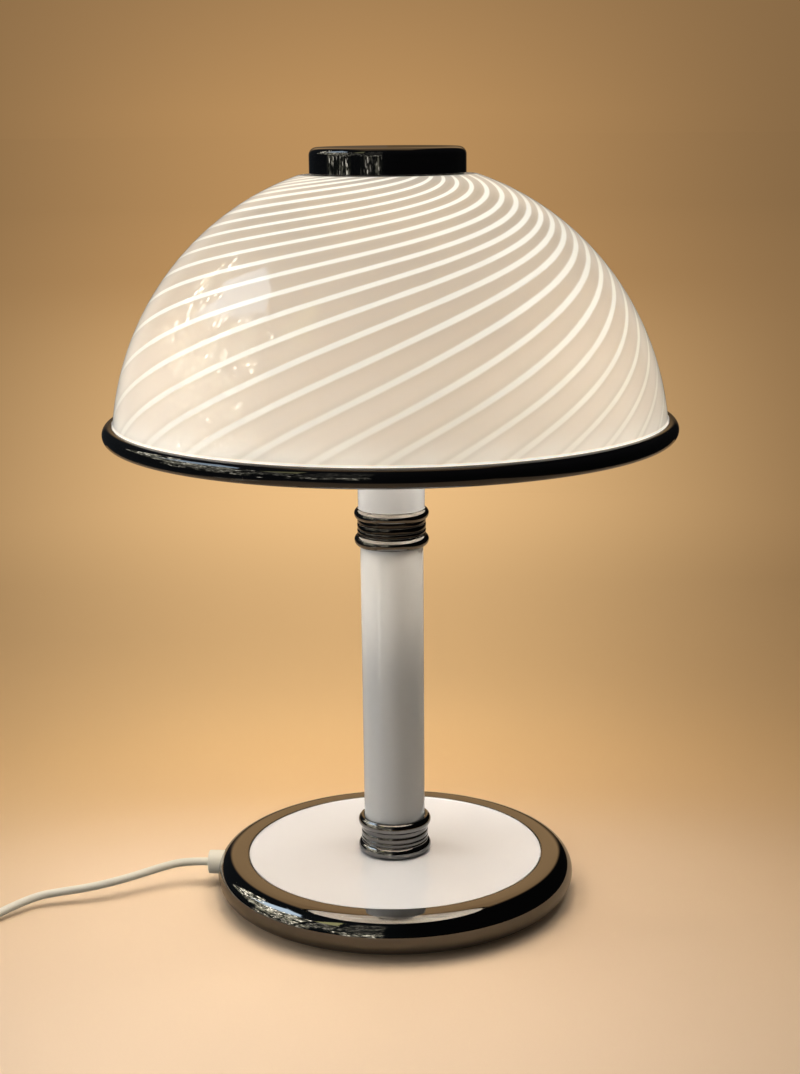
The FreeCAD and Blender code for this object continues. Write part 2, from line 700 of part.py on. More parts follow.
def make_lead_wires():
    """The two single wires from the terminal block down and up through the tie rod."""
    start = size.terminal_setback + size.terminal_length - weight_radius
    for name, side in (("lead_wire_live", -1), ("lead_wire_neutral", 1)):
        low = size.wire_low.value
        spread = side * size.wire_spread.value
        rise = side * size.wire_rise_spread.value
        top = (flange_top + size.hub_wall + size.wire_entry).value
        route = [
            (start.value, spread, ring_axis.value - size.terminal_depth.value / 2),
            (start.value * 0.75, spread, ring_axis.value - size.terminal_depth.value / 2),
            (start.value * 0.45, spread, low),
            (0.0, rise, low),
            (0.0, rise, top),
        ]
        tube(name, route, size.wire_radius, bend=size.wire_bend.value)


def collar_outline(grooves):
    """The outside of a ribbed collar from its foot to its top: two beads and fine grooves between."""
    body = size.collar_body_radius
    high = size.collar_height
    corners = []
    for middle in (size.collar_bead_inset, high - size.collar_bead_inset):
        corners.append((body, middle - size.collar_bead_half))
        corners.append((body, middle + size.collar_bead_half, size.collar_bead_radius, middle))
        if not corners[2:]:
            for height in grooves:
                corners.append((body, height - size.collar_groove_half))
                corners.append((body - size.collar_groove, height))
                corners.append((body, height + size.collar_groove_half))
    return corners


def make_collars():
    high = size.collar_height
    seat = size.stem_radius + size.slip_gap
    bore = size.rod_radius + size.loose_gap
    first = size.collar_bead_inset + size.collar_bead_half
    band = high - 2 * first
    grooves = [first + band * share for share in (1 / 8, 3 / 8, 6 / 8)]
    outside = collar_outline(grooves)
    lower = [(bore, 0), (size.collar_body_radius, 0)] + outside + [
        (size.collar_body_radius, high), (seat, high), (seat, size.collar_web), (bore, size.collar_web)]
    move(turned("lower_collar", lower), z=disc_top)
    upper = [(seat, 0), (size.collar_body_radius, 0)] + outside + [
        (size.collar_body_radius, high),
        (size.sleeve_radius - size.sleeve_wall - size.slip_gap, high),
        (size.sleeve_radius - size.sleeve_wall - size.slip_gap, high + size.spigot_height),
        (bore, high + size.spigot_height),
        (bore, high - size.collar_web),
        (seat, high - size.collar_web)]
    move(turned("upper_collar", upper), z=upper_collar_foot)


def make_column():
    stem_foot = disc_top + size.collar_web
    stem_height = upper_collar_top - size.collar_web - stem_foot
    ring("stem_tube", size.stem_radius, size.stem_radius - size.stem_wall, stem_height, stem_foot)
    ring("upper_sleeve", size.sleeve_radius, size.sleeve_radius - size.sleeve_wall, size.sleeve_length,
         upper_collar_top)
    rod_foot = well_roof - size.rod_tail
    ring("tie_rod", size.rod_radius, size.rod_bore, flange_top + size.hub_wall - rod_foot, rod_foot)
    ring("rod_washer", size.rod_washer_radius, size.rod_radius + size.thread_gap,
         size.rod_washer_thickness, well_roof - size.rod_washer_thickness)
    hexagon("rod_nut", size.rod_nut_radius, size.rod_radius + size.thread_gap, size.rod_nut_height,
            well_roof - size.rod_washer_thickness - size.rod_nut_height)


def on_arm(thing, side, distance):
    """Places a piece turned about Z on a lampholder's axis, that far from the crossing point."""
    lean = 90 - size.holder_tilt
    turn(thing, (0, side, 0), lean)
    along = size.holder_tilt.value
    level = Dim(math.cos(math.radians(along)), "cos(sizes.holder_tilt * 1deg)")
    rise = Dim(math.sin(math.radians(along)), "sin(sizes.holder_tilt * 1deg)")
    return move(thing, x=side * level * distance, z=crossing + rise * distance)


def make_hub():
    wall = size.hub_wall
    total = size.hub_flange + size.hub_height
    rod = size.rod_radius + size.thread_gap
    post = size.post_radius + size.thread_gap
    inside = size.hub_radius - wall
    outline = [
        (rod, 0),
        (size.sleeve_radius, 0),
        (size.sleeve_radius, size.hub_flange),
        (size.hub_radius, size.hub_flange),
        (size.hub_radius, total),
        (post, total),
        (post, total - size.post_bite),
        (inside, total - size.post_bite),
        (inside, size.hub_flange + wall),
        (rod, size.hub_flange + wall),
    ]
    body = move(turned("cluster_hub", outline), z=sleeve_top)
    holes = []
    for word, side in (("left", -1), ("right", 1)):
        hole = cylinder("hub_hole_" + word, size.arm_radius + size.thread_gap, size.hub_radius)
        holes.append(on_arm(hole, side, size.arm_start - wall))
    drilled("cluster_hub", body, holes)
    foot = flange_top + wall
    block = box("connector_blank", size.connector_length, size.connector_width, size.connector_height,
                z=foot)
    holes = []
    for word, side in (("left", -1), ("right", 1)):
        hole = cylinder("connector_branch_" + word, size.branch_radius + size.slip_gap, size.hub_radius)
        holes.append(on_arm(hole, side, size.branch_start))
        holes.append(cylinder("connector_lead_" + word, size.wire_radius + size.slip_gap, size.wire_entry,
                              y=side * size.wire_rise_spread, z=foot))
    keep("hub_connector", cut("connector_cut", block, holes))


def make_lampholder(word, side):
    """Arm, shell, porcelain, wire and bulb of one side, all on one axis."""
    arm_length = size.arm_end - size.arm_start
    arm = ring("holder_arm_" + word, size.arm_radius, size.arm_radius - size.arm_wall, arm_length, 0)
    on_arm(arm, side, size.arm_start)
    wall = size.holder_wall
    floor = size.holder_floor
    high = size.holder_length
    shell_start = size.arm_end - floor
    shell = turned("holder_shell_" + word, [
        (size.arm_radius + size.thread_gap, 0),
        (size.holder_radius - wall, 0),
        (size.holder_radius, wall, size.holder_radius - wall * (1 - math.sqrt(0.5)),
         wall * (1 - math.sqrt(0.5))),
        (size.holder_radius, high),
        (size.holder_radius - wall, high),
        (size.holder_radius - wall, floor),
        (size.arm_radius + size.thread_gap, floor)])
    on_arm(shell, side, shell_start)
    insert_radius = size.holder_radius - wall - size.thread_gap
    insert_length = high - floor - size.insert_setback
    thread = size.bulb_cap_radius + size.slip_gap
    wire_hole = size.branch_radius + size.slip_gap
    insert = turned("holder_insert_" + word, [
        (wire_hole, 0), (insert_radius, 0), (insert_radius, insert_length), (thread, insert_length),
        (thread, size.insert_floor), (wire_hole, size.insert_floor)])
    insert_start = shell_start + floor
    on_arm(insert, side, insert_start)
    branch_length = insert_start + size.insert_floor - size.branch_start - size.loose_gap
    branch = turned("branch_wire_" + word, [(0, 0), (size.branch_radius, 0),
                                            (size.branch_radius, branch_length), (0, branch_length)])
    on_arm(branch, side, size.branch_start)
    make_bulb(word, side, insert_start + size.insert_floor)


def make_bulb(word, side, seat):
    """A screw bulb: metal cap with a rounded contact, and a round glass envelope."""
    radius = size.bulb_cap_radius
    contact = radius / 2
    long = size.bulb_cap_length
    cap = turned("bulb_cap_" + word, [
        (0, 0), (contact, 0), (radius, contact), (radius, long), (0, long)])
    on_arm(cap, side, seat)
    ball = size.bulb_radius
    middle = size.bulb_length - ball
    neck = size.bulb_neck_radius
    shoulder = middle - root(ball * ball - neck * neck)
    outline = [
        (0, 0), (radius, 0), (neck, size.bulb_neck_length / 2), (neck, shoulder),
        (ball, middle, ball * math.sin(math.radians(120)), middle + ball * math.cos(math.radians(120))),
        (0, size.bulb_length, ball * math.sqrt(0.5), middle + ball * math.sqrt(0.5)),
    ]
    on_arm(turned("bulb_glass_" + word, outline), side, seat + long)


def make_post():
    foot = hub_top - size.post_bite
    cylinder_post = cylinder("post_rod", size.post_radius, glass_top + size.post_rise - foot, z=foot)
    keep("shade_post", cylinder_post)
    bore = size.post_radius + size.thread_gap
    hexagon("post_lock_nut", size.post_nut_radius, bore, size.post_nut_height, hub_top)
    carrier_foot = glass_under - size.carrier_gasket_thickness - size.carrier_thickness
    hexagon("carrier_nut", size.post_nut_radius, bore, size.post_nut_height,
            carrier_foot - size.post_nut_height)
    thick = size.carrier_thickness
    spigot = size.glass_hole_radius - size.loose_gap
    spigot_top = thick + size.carrier_gasket_thickness + size.glass_wall - size.loose_gap
    carrier = [
        (bore, 0), (size.carrier_radius, 0), (size.carrier_radius, thick), (spigot, thick),
        (spigot, spigot_top), (spigot - thick, spigot_top), (spigot - thick, thick), (bore, thick)]
    move(turned("shade_carrier", carrier), z=carrier_foot)
    ring("carrier_gasket", size.carrier_radius, spigot + size.loose_gap, size.carrier_gasket_thickness,
         carrier_foot + thick)


def dome_part(name, shrink, low, high):
    """A slice of the dome's ellipsoid between two heights, the wall's thickness smaller if asked."""
    whole = doc.addObject("Part::Ellipsoid", name + "_ellipsoid")
    bind(whole, "Radius1", size.dome_rise - shrink)
    bind(whole, "Radius2", size.dome_radius - shrink)
    bind(whole, "Radius3", size.dome_radius - shrink)
    whole.Angle1 = -90
    whole.Angle2 = 90
    whole.Angle3 = 360
    move(whole, z=dome_middle)
    slab = cylinder(name + "_slab", size.dome_radius * 2, high - low, z=low)
    part = doc.addObject("Part::Common", name)
    part.Base = whole
    part.Tool = slab
    return part


def make_shade():
    outside = dome_part("dome_outside", 0, glass_edge, glass_top)
    inside = dome_part("dome_inside", size.glass_wall, glass_edge - size.glass_wall, glass_under)
    hole_foot = glass_under - size.glass_wall
    hole = cylinder("dome_hole", size.glass_hole_radius, size.glass_wall * 2, z=hole_foot)
    keep("glass_shade", cut("glass_cut", outside, [inside, hole]))
    edge = root(1 - size.dome_drop * size.dome_drop / (size.dome_rise * size.dome_rise))
    outer_glass = size.dome_radius * edge
    groove_out = outer_glass + size.rim_groove_gap
    lip_level = (size.dome_drop + size.rim_inner_rise) / (size.dome_rise - size.glass_wall)
    inner_glass = (size.dome_radius - size.glass_wall) * root(1 - lip_level * lip_level)
    groove_in = inner_glass - size.rim_groove_gap
    groove_floor = glass_edge - size.rim_seal_thickness
    middle = groove_out + size.rim_shift
    section = size.rim_section
    level = glass_edge + size.rim_rise
    lip_rise = root(section * section - size.rim_shift * size.rim_shift)
    inner_face = groove_in - size.rim_inner_wall
    corner = size.rim_inner_wall
    foot = level - section
    outline = [
        (groove_out, level + lip_rise),
        (middle, foot, middle + section, level),
        (inner_face + corner, foot),
        (inner_face, foot + corner, inner_face + corner * (1 - math.sqrt(0.5)),
         foot + corner * (1 - math.sqrt(0.5))),
        (inner_face, glass_edge + size.rim_inner_rise),
        (groove_in, glass_edge + size.rim_inner_rise),
        (groove_in, groove_floor),
        (groove_out, groove_floor),
    ]
    turned("rim_ring", outline)
    ring("rim_seal", groove_out - size.rim_groove_gap, groove_in + size.rim_groove_gap,
         size.rim_seal_thickness, groove_floor)
    outer = size.cap_radius - size.cap_gasket_inset
    ring("cap_gasket", outer, outer - size.cap_gasket_width, size.cap_gasket_thickness, glass_top)


def make_cap():
    radius = size.cap_radius
    high = size.cap_height
    wall = size.cap_wall
    bend = size.cap_round
    corner = bend * (1 - math.sqrt(0.5))
    inner = bend - wall
    inner_corner = inner * (1 - math.sqrt(0.5))
    outline = [
        (radius - wall, 0),
        (radius, 0),
        (radius, high - bend),
        (radius - bend, high, radius - corner, high - corner),
        (0, high),
        (0, high - wall),
        (radius - bend, high - wall),
        (radius - wall, high - bend, radius - wall - inner_corner, high - wall - inner_corner),
    ]
    move(turned("cap_shell", outline), z=cap_foot)
    roof = cap_top - wall
    foot = cap_foot + size.boss_clear
    bore = size.post_radius + size.thread_gap
    depth = roof - foot
    blind = glass_top + size.post_rise + size.loose_gap - foot
    boss = [
        (bore, 0), (size.boss_radius, 0), (size.boss_radius, depth - size.boss_flange),
        (size.boss_flange_radius, depth - size.boss_flange), (size.boss_flange_radius, depth),
        (0, depth), (0, blind), (bore, blind)]
    move(turned("cap_boss", boss), z=foot)


def switch_outline(inset):
    """Half-length y and half-width x of the switch: a long body with tapered ends."""
    half = size.switch_length / 2 - inset
    wide = size.switch_width / 2 - inset
    tip = size.switch_end_width / 2 - inset
    taper = size.switch_width / 2
    return [(tip, -half), (wide, -half + taper), (wide, half - taper), (tip, half), (-tip, half),
            (-wide, half - taper), (-wide, -half + taper), (-tip, -half)]


def in_switch(thing, z=None):
    return move(thing, x=from_mouth(SWITCH_MIDDLE[0]), y=as_dim(SWITCH_MIDDLE[1]), z=z)


def hollow_half(name, high, wall, floor_z, foot):
    """One half of the switch housing: an outer pad less an inner pad."""
    outer = in_switch(padded(name + "_outer", switch_outline(0), high), foot)
    inner = in_switch(padded(name + "_inner", switch_outline(wall), high - wall), floor_z)
    for piece in (name + "_outer", name + "_inner"):
        del nodes[piece]
    return outer, inner


def switch_entries(name, x, y):
    """The two cord entries, each reaching in from one end of the switch."""
    entries = []
    for word, end in (("near", y + size.switch_length / 2 - size.switch_entry),
                      ("far", y - size.switch_length / 2)):
        hole = cylinder(name + "_entry_" + word, size.cord_radius + size.slip_gap, size.switch_entry)
        turn(hole, (1, 0, 0), -90)
        entries.append(move(hole, x=x, y=end, z=size.switch_axis))
    return entries


def make_switch():
    x, y = from_mouth(SWITCH_MIDDLE[0]), as_dim(SWITCH_MIDDLE[1])
    wall = size.switch_wall
    low = size.switch_base_height
    high = size.switch_cover_height
    outer, inner = hollow_half("switch_base", low, wall, wall, as_dim(0.0))
    screw_gap = size.switch_screw_radius + size.thread_gap
    post_radius = 2 * size.switch_screw_radius
    place = size.switch_screw_place
    ends = (("near", y - place), ("far", y + place))
    posts = [cylinder("switch_post_" + w, post_radius, low - wall, x, at, wall) for w, at in ends]
    holes = [cylinder("switch_post_hole_" + w, screw_gap, low, x, at, 0) for w, at in ends]
    shell = fuse("switch_base_shell", [cut("switch_base_hollow", outer, [inner])] + posts)
    keep("switch_base", cut("switch_base_cut", shell, holes + switch_entries("switch_base", x, y)))
    outer, inner = hollow_half("switch_cover", high, wall, low, low)
    opening = box("rocker_opening", size.rocker_width + 2 * size.rocker_gap,
                  size.rocker_length + 4 * size.rocker_gap, high, x, y, low)
    ear_foot = size.rocker_pivot - 2 * size.pin_radius
    ear_side = size.rocker_width / 2 + size.rocker_gap + size.ear_width / 2
    ears = [box("rocker_ear_" + w, size.ear_width, size.ear_length, low + high - wall - ear_foot,
                x + side * ear_side, y, ear_foot) for w, side in (("left", -1), ("right", 1))]
    pin_hole = cylinder("rocker_pin_hole", size.pin_radius + size.thread_gap, size.switch_width)
    turn(pin_hole, (0, 1, 0), 90)
    reach = size.rocker_width / 2 + size.rocker_gap + size.ear_width
    bind(pin_hole, "Height", 2 * reach)
    move(pin_hole, x=x - reach, y=y, z=size.rocker_pivot)
    bosses = [cylinder("cover_boss_" + w, post_radius, high - wall, x, at, low) for w, at in ends]
    taps = [cylinder("cover_tap_" + w, screw_gap, high - wall, x, at, low) for w, at in ends]
    shell = fuse("switch_cover_shell", [cut("switch_cover_hollow", outer, [inner, opening])] + ears + bosses)
    cuts = [pin_hole] + taps + switch_entries("switch_cover", x, y)
    keep("switch_cover", cut("switch_cover_cut", shell, cuts))
    screws = []
    for w, at in ends:
        screws.append(cylinder("switch_screw_" + w, size.switch_screw_radius, low + high - 2 * wall, x, at,
                               wall / 2))
    group("switch_screws", screws)
    make_rocker(x, y)
    strip = size.contact_thickness
    fixed = box("contact_fixed_strip", size.contact_width, size.rocker_length / 2, strip, x,
                y + size.rocker_length / 2, wall)
    keep("switch_contact_fixed", fixed)
    spring = box("contact_spring_strip", size.contact_width, size.rocker_length / 2, strip, x,
                 y - size.rocker_length / 2, wall)
    keep("switch_contact_spring", spring)


def make_rocker(x, y):
    """A rocker with two finger flats, tilted to its ON side at rest."""
    half = size.rocker_length / 2
    proud = size.rocker_proud
    end = proud + size.rocker_dip
    low = size.rocker_depth
    outline = [
        (-half, -low / 2), (-half / 2, -low), (half / 2, -low), (half, -low / 2), (half, end),
        (0, proud), (-half, end)]
    wedge = padded("rocker_wedge", outline, size.rocker_width, "YZ_Plane", True)
    del nodes["rocker_wedge"]
    reach = size.rocker_width / 2 + size.pin_reach
    stub = cylinder("rocker_stub", size.pin_radius, 2 * reach)
    turn(stub, (0, 1, 0), 90)
    move(stub, x=-reach)
    rocker = fuse("rocker_whole", [wedge, stub])
    turn(rocker, (1, 0, 0), size.rocker_tilt)
    move(rocker, x=x, y=y, z=size.rocker_pivot)
    keep("switch_rocker", rocker)


def make_plug():
    x, y = from_mouth(PLUG_RELIEF_TIP[0]), as_dim(PLUG_RELIEF_TIP[1])
    back = y + size.relief_length
    front = back + size.plug_length
    wide = size.plug_width / 2
    tip = size.plug_front_width / 2
    shoulder = size.relief_radius + size.disc_gap
    corner = size.plug_corner
    outline = [(shoulder, 0), (wide, corner), (wide, size.plug_length - corner), (tip, size.plug_length),
               (-tip, size.plug_length), (-wide, size.plug_length - corner), (-wide, corner), (-shoulder, 0)]
    body = padded("plug_body", outline, size.plug_thickness)
    move(body, x=x, y=back)
    level = size.plug_thickness / 2
    relief = turned("plug_relief", [
        (0, 0), (size.relief_tip, 0), (size.relief_radius, size.relief_length), (0, size.relief_length)])
    turn(relief, (1, 0, 0), -90)
    move(relief, x=x, y=y, z=level)
    pins = []
    for word, side in (("left", -1), ("right", 1)):
        pin = cylinder("plug_pin_" + word, size.pin_size, size.pin_length)
        turn(pin, (1, 0, 0), -90)
        pins.append(move(pin, x=x + side * size.pin_spacing / 2, y=front, z=level))
    group("plug_pins", pins)


def half_arc(start, ahead, stop):
    """The arc that leaves start along ahead and ends at stop, as an edge."""
    chord = stop - start
    lean = ahead.getAngle(chord)
    outward = ahead - chord * (ahead.dot(chord) / chord.dot(chord))
    if lean < 1e-6:
        return Part.LineSegment(start, stop).toShape()
    bulge = chord.Length / 2 * math.tan(lean / 2)
    middle = (start + stop) / 2 + outward.normalize() * bulge
    return Part.Arc(start, middle, stop).toShape()


def biarc(start, ahead, stop, onward):
    """Two arcs that join start to stop with those directions and meet smoothly."""
    chord = stop - start
    both = ahead + onward
    spare = 2 * (1 - ahead.dot(onward))
    across = chord.dot(both)
    reach = (math.sqrt(across * across + spare * chord.dot(chord)) - across) / spare
    joint = (start + ahead * reach + stop - onward * reach) / 2
    first = half_arc(start, ahead, joint)
    second = half_arc(stop, onward * -1, joint)
    return [first, second]


def coil_station(share, inner, pitch, turns, low):
    """The coil's point and direction at a share of its turns. It winds in on the lower layer, climbs
    in the half turn where it reverses, and winds out on the upper layer, clockwise from above."""
    angle = -2 * math.pi * share
    reversal = turns + 0.25
    spread = abs(share - reversal)
    radius = inner + pitch * (spread - 0.25)
    slope = pitch * (1 if share > reversal else -1) / (2 * math.pi)
    climb = min(max((share - turns) / 0.5, 0.0), 1.0)
    height = low + pitch * climb
    rise = pitch / math.pi if 0 < climb < 1 else 0.0
    if spread < 0.01:
        slope = 0.0
    out = Vector(math.cos(angle), math.sin(angle), 0)
    along = Vector(math.sin(angle), -math.cos(angle), 0)
    point = Vector(coil_middle_x.value, COIL_MIDDLE_Y, height) + out * radius
    return point, (along * radius + out * slope + Vector(0, 0, rise)).normalize()


def make_coil():
    """The put-away length: one unbroken cord in two layers."""
    pitch = size.coil_pitch.value
    turns = size.coil_turns.value
    cord = size.cord_radius.value
    low = SWITCH_LEAD[-1][2]
    quarters = int(round(4 * (2 * turns + 0.5)))
    stations = [coil_station(i / 4, size.coil_inner.value, pitch, turns, low) for i in range(quarters + 1)]
    stations[0] = (stations[0][0], Vector(0, -1, 0))
    stations[-1] = (stations[-1][0], Vector(0, 1, 0))
    lead = 2 * cord
    first = stations[0][0] - stations[0][1] * lead
    last = stations[-1][0] + stations[-1][1] * lead
    edges = [Part.LineSegment(first, stations[0][0]).toShape()]
    for (start, ahead), (stop, onward) in zip(stations, stations[1:]):
        edges += biarc(start, ahead, stop, onward)
    edges.append(Part.LineSegment(stations[-1][0], last).toShape())
    edges = Part.sortEdges(edges)[0]
    wire = Part.Wire(edges)
    section = Part.Wire([Part.makeCircle(cord, first, stations[0][1])])
    shape = wire.makePipeShell([section], True, False)
    tightest = min(e.Curve.Radius for e in wire.Edges if hasattr(e.Curve, "Radius"))
    expected = math.pi * cord ** 2 * wire.Length
    print("cord_coil: length %.1f, least bend radius %.1f, volume off by %.3f %%, least gap %.2f" % (
        wire.Length, tightest, 100 * (shape.Volume / expected - 1), least_gap(wire, cord)))
    print("cord_coil starts at %s and ends at %s" % (tuple(first), tuple(last)))
    return solid("cord_coil", shape)


def least_gap(wire, cord):
    """Least distance between the surfaces of two loops, measured on points of the middle line."""
    step = 2.0
    points = wire.discretize(Distance=step)
    apart = int(4 * math.pi * cord / step)
    least = 1e9
    for i in range(0, len(points)):
        for j in range(i + apart, len(points)):
            least = min(least, (points[i] - points[j]).Length)
    return least - 2 * cord


def make_tie():
    """A flat band round the coil's loops, at the coil's far side."""
    cord = size.cord_radius
    band = size.tie_thickness
    gap = size.tie_gap
    near = size.coil_inner - size.coil_pitch / 4 - cord - gap
    away = size.coil_inner + size.coil_pitch * (size.coil_turns - 0.75) + cord + gap
    foot = band
    top = as_dim(SWITCH_LEAD[-1][2]) + size.coil_pitch + cord + gap
    bend = cord / 2
    corner = bend * (1 - math.sqrt(0.5))
    far = away + band
    close = near - band
    peak = top + band

    def band_outline(left, right, low, high, bend, corner):
        return [
            (right - bend, low), (right, low + bend, right - corner, low + corner),
            (right, high - bend), (right - bend, high, right - corner, high - corner),
            (left + bend, high), (left, high - bend, left + corner, high - corner),
            (left, low + bend), (left + bend, low, left + corner, low + corner)]

    outer_corner = (bend + band) * (1 - math.sqrt(0.5))
    around = band_outline(close, far, as_dim(0.0), peak, bend + band, outer_corner)
    within = band_outline(near, away, foot, top, bend, corner)
    outer = padded("tie_outer", around, size.tie_width, "YZ_Plane", True)
    inner = padded("tie_inner", within, size.tie_width, "YZ_Plane", True)
    for piece in ("tie_outer", "tie_inner"):
        del nodes[piece]
    tie = cut("tie_cut", outer, [inner])
    keep("coil_tie", move(tie, x=coil_middle_x, y=as_dim(COIL_MIDDLE_Y)))


def make_cords():
    tube("cord_lamp_lead", route([(0.0, 0.0, ring_axis.value)] + LAMP_LEAD), size.cord_radius)
    tube("cord_switch_lead", route(SWITCH_LEAD), size.cord_radius)
    make_coil()
    tube("cord_plug_lead", route(PLUG_LEAD), size.cord_radius)
    make_tie()


coil_outer = size.coil_inner + size.coil_pitch * size.coil_turns
coil_middle_x = from_mouth(SWITCH_LEAD[-1][0]) - coil_outer

make_foot()
make_weight()
make_base_ring()
make_disc()
make_gland()
make_inner_cord()
make_lead_wires()
make_collars()
make_column()
make_hub()
make_lampholder("left", -1)
make_lampholder("right", 1)
make_post()
make_shade()
make_cap()
make_switch()
make_plug()
make_cords()
doc.recompute()

# Nothing is written unless every object and every sub-part came out sound
faults = [o.Label for o in doc.Objects if "Invalid" in o.State or "Error" in o.State]
for name, thing in nodes.items():
    if thing.Shape.isNull() or not thing.Shape.isValid() or not thing.Shape.Solids:
        faults.append(name)
if faults:
    raise SystemExit("Faulty objects: " + ", ".join(faults))
os.makedirs("parts", exist_ok=True)
for name, thing in nodes.items():
    thing.Shape.exportStep(os.path.join("parts", name + ".step"))
print(len(nodes), "sub-parts")
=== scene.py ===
# Looks of the mushroom table lamp, in metres, with +Z up and its origin on the table under the base
import json
import math

import bmesh
import bpy
from mathutils import Matrix, Vector

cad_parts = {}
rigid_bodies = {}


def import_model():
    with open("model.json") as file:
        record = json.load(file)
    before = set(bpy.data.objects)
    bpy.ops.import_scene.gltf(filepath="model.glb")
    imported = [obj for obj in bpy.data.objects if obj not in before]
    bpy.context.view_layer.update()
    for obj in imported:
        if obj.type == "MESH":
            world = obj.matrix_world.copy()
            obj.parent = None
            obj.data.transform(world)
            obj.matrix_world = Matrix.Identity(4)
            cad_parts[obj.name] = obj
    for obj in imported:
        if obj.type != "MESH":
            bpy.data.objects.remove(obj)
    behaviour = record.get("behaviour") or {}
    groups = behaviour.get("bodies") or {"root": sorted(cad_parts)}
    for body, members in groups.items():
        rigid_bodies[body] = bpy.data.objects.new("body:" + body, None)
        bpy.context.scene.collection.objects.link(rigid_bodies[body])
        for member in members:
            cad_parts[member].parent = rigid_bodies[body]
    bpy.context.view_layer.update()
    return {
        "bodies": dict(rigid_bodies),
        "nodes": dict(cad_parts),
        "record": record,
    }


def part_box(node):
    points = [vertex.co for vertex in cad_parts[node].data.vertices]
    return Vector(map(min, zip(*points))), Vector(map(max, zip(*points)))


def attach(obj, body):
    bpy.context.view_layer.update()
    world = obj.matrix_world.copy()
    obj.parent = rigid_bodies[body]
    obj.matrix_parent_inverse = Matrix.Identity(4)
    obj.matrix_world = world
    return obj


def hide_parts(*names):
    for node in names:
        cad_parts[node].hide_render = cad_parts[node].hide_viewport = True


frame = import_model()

# One millimetre in metres: sizes below are in millimetres where a comment or docstring says so
MM = 0.001

# The photo's frame and the camera that took it
PHOTO_SIZE = (800, 1074)
FOCAL_PIXELS = 1853.8
SENSOR = 36.0
CAMERA_DISTANCE = 1.1374
CAMERA_HEIGHT = 0.4975
LAMP_AZIMUTH = math.radians(5.0)
CAMERA_YAW = math.radians(0.263)
CAMERA_PITCH = math.radians(12.934)
CAMERA_ROLL = math.radians(-0.559)

# The cord: its control points after the gland's mouth, as distance out, y and height in millimetres
CORD_RADIUS = 2.6
LAMP_LEAD = [
    (0.0, 0.0, 15.0), (15.5, 0.0, 15.0), (29.8, -7.5, 13.8), (43.8, -18.0, 12.3), (58.8, -27.5, 10.8),
    (74.3, -34.5, 9.4), (89.8, -38.8, 8.3), (103.8, -43.5, 7.2), (116.3, -57.0, 5.9),
    (127.3, -72.0, 4.4), (138.0, -89.0, 3.1), (144.8, -106.0, 3.3), (144.8, -124.0, 6.5),
    (144.8, -142.0, 6.5),
]
SWITCH_LEAD = [
    (144.8, -190.0, 6.5), (144.8, -203.0, 6.5), (144.8, -216.0, 5.4), (144.8, -229.0, 3.8),
    (144.8, -240.0, 3.5), (144.8, -246.8, 3.5),
]
PLUG_LEAD = [
    (225.4, -246.8, 9.3), (225.4, -239.5, 9.3), (224.4, -229.0, 8.3), (223.2, -218.0, 6.85),
    (223.2, -208.0, 6.85),
]
COIL_MIDDLE_Y = -252.0
COIL_INNER = 20.0
COIL_PITCH = 5.8
COIL_TURNS = 3.5
COIL_POINTS_PER_TURN = 24
LAMP_LEAD_LENGTH = 0.226
MAINS_LENGTH = 1.494


def add_camera():
    """The photo's camera, as the scene's own."""
    data = bpy.data.cameras.new("photo_camera")
    data.sensor_width = SENSOR
    data.lens = FOCAL_PIXELS * SENSOR / max(PHOTO_SIZE)
    camera = bpy.data.objects.new("photo_camera", data)
    bpy.context.scene.collection.objects.link(camera)
    heading = Matrix.Rotation(LAMP_AZIMUTH - CAMERA_YAW, 4, "Z")
    tilt = Matrix.Rotation(math.pi / 2 - CAMERA_PITCH, 4, "X")
    roll = Matrix.Rotation(CAMERA_ROLL, 4, "Z")
    place = Matrix.Translation((CAMERA_DISTANCE * math.sin(LAMP_AZIMUTH),
                                -CAMERA_DISTANCE * math.cos(LAMP_AZIMUTH), CAMERA_HEIGHT))
    camera.matrix_world = place @ heading @ tilt @ roll
    bpy.context.scene.camera = camera


def from_mouth(points):
    """A cord's control points in the lamp's frame, in metres."""
    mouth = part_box("cord_gland")[0].x
    return [Vector((mouth - x * MM, y * MM, z * MM)) for x, y, z in points]


def coil_points(start):
    """The coil's control points: it winds in on the lower layer, climbs in the half turn where it
    reverses, and winds out on the upper layer, clockwise from above."""
    middle_x = start.x / MM - COIL_INNER - COIL_PITCH * COIL_TURNS
    low = start.z / MM
    reversal = COIL_TURNS + 0.25
    count = round((2 * COIL_TURNS + 0.5) * COIL_POINTS_PER_TURN)
    points = []
    for step in range(count + 1):
        share = step / COIL_POINTS_PER_TURN
        angle = -2 * math.pi * share
        radius = COIL_INNER + COIL_PITCH * (abs(share - reversal) - 0.25)
        climb = min(max((share - COIL_TURNS) / 0.5, 0.0), 1.0)
        points.append(Vector((middle_x + radius * math.cos(angle), COIL_MIDDLE_Y + radius * math.sin(angle),
                              low + COIL_PITCH * climb)) * MM)
    return points


def add_cord(name, points, replaced, material, **facts):
    """One smooth round cord along its control points."""
    curve = bpy.data.curves.new(name, "CURVE")
    curve.dimensions = "3D"
    curve.bevel_depth = CORD_RADIUS * MM
    curve.bevel_resolution = 6
    curve.use_fill_caps = True
    spline = curve.splines.new("NURBS")
    spline.points.add(len(points) - 1)
    for control, point in zip(spline.points, points):
        control.co = (*point, 1.0)
    spline.order_u = 3
    spline.use_endpoint_u = True
    spline.resolution_u = 8
    spline.use_smooth = True
    curve.materials.append(material)
    piece = bpy.data.objects.new(name, curve)
    bpy.context.scene.collection.objects.link(piece)
    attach(piece, "lamp")
    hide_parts(*replaced)


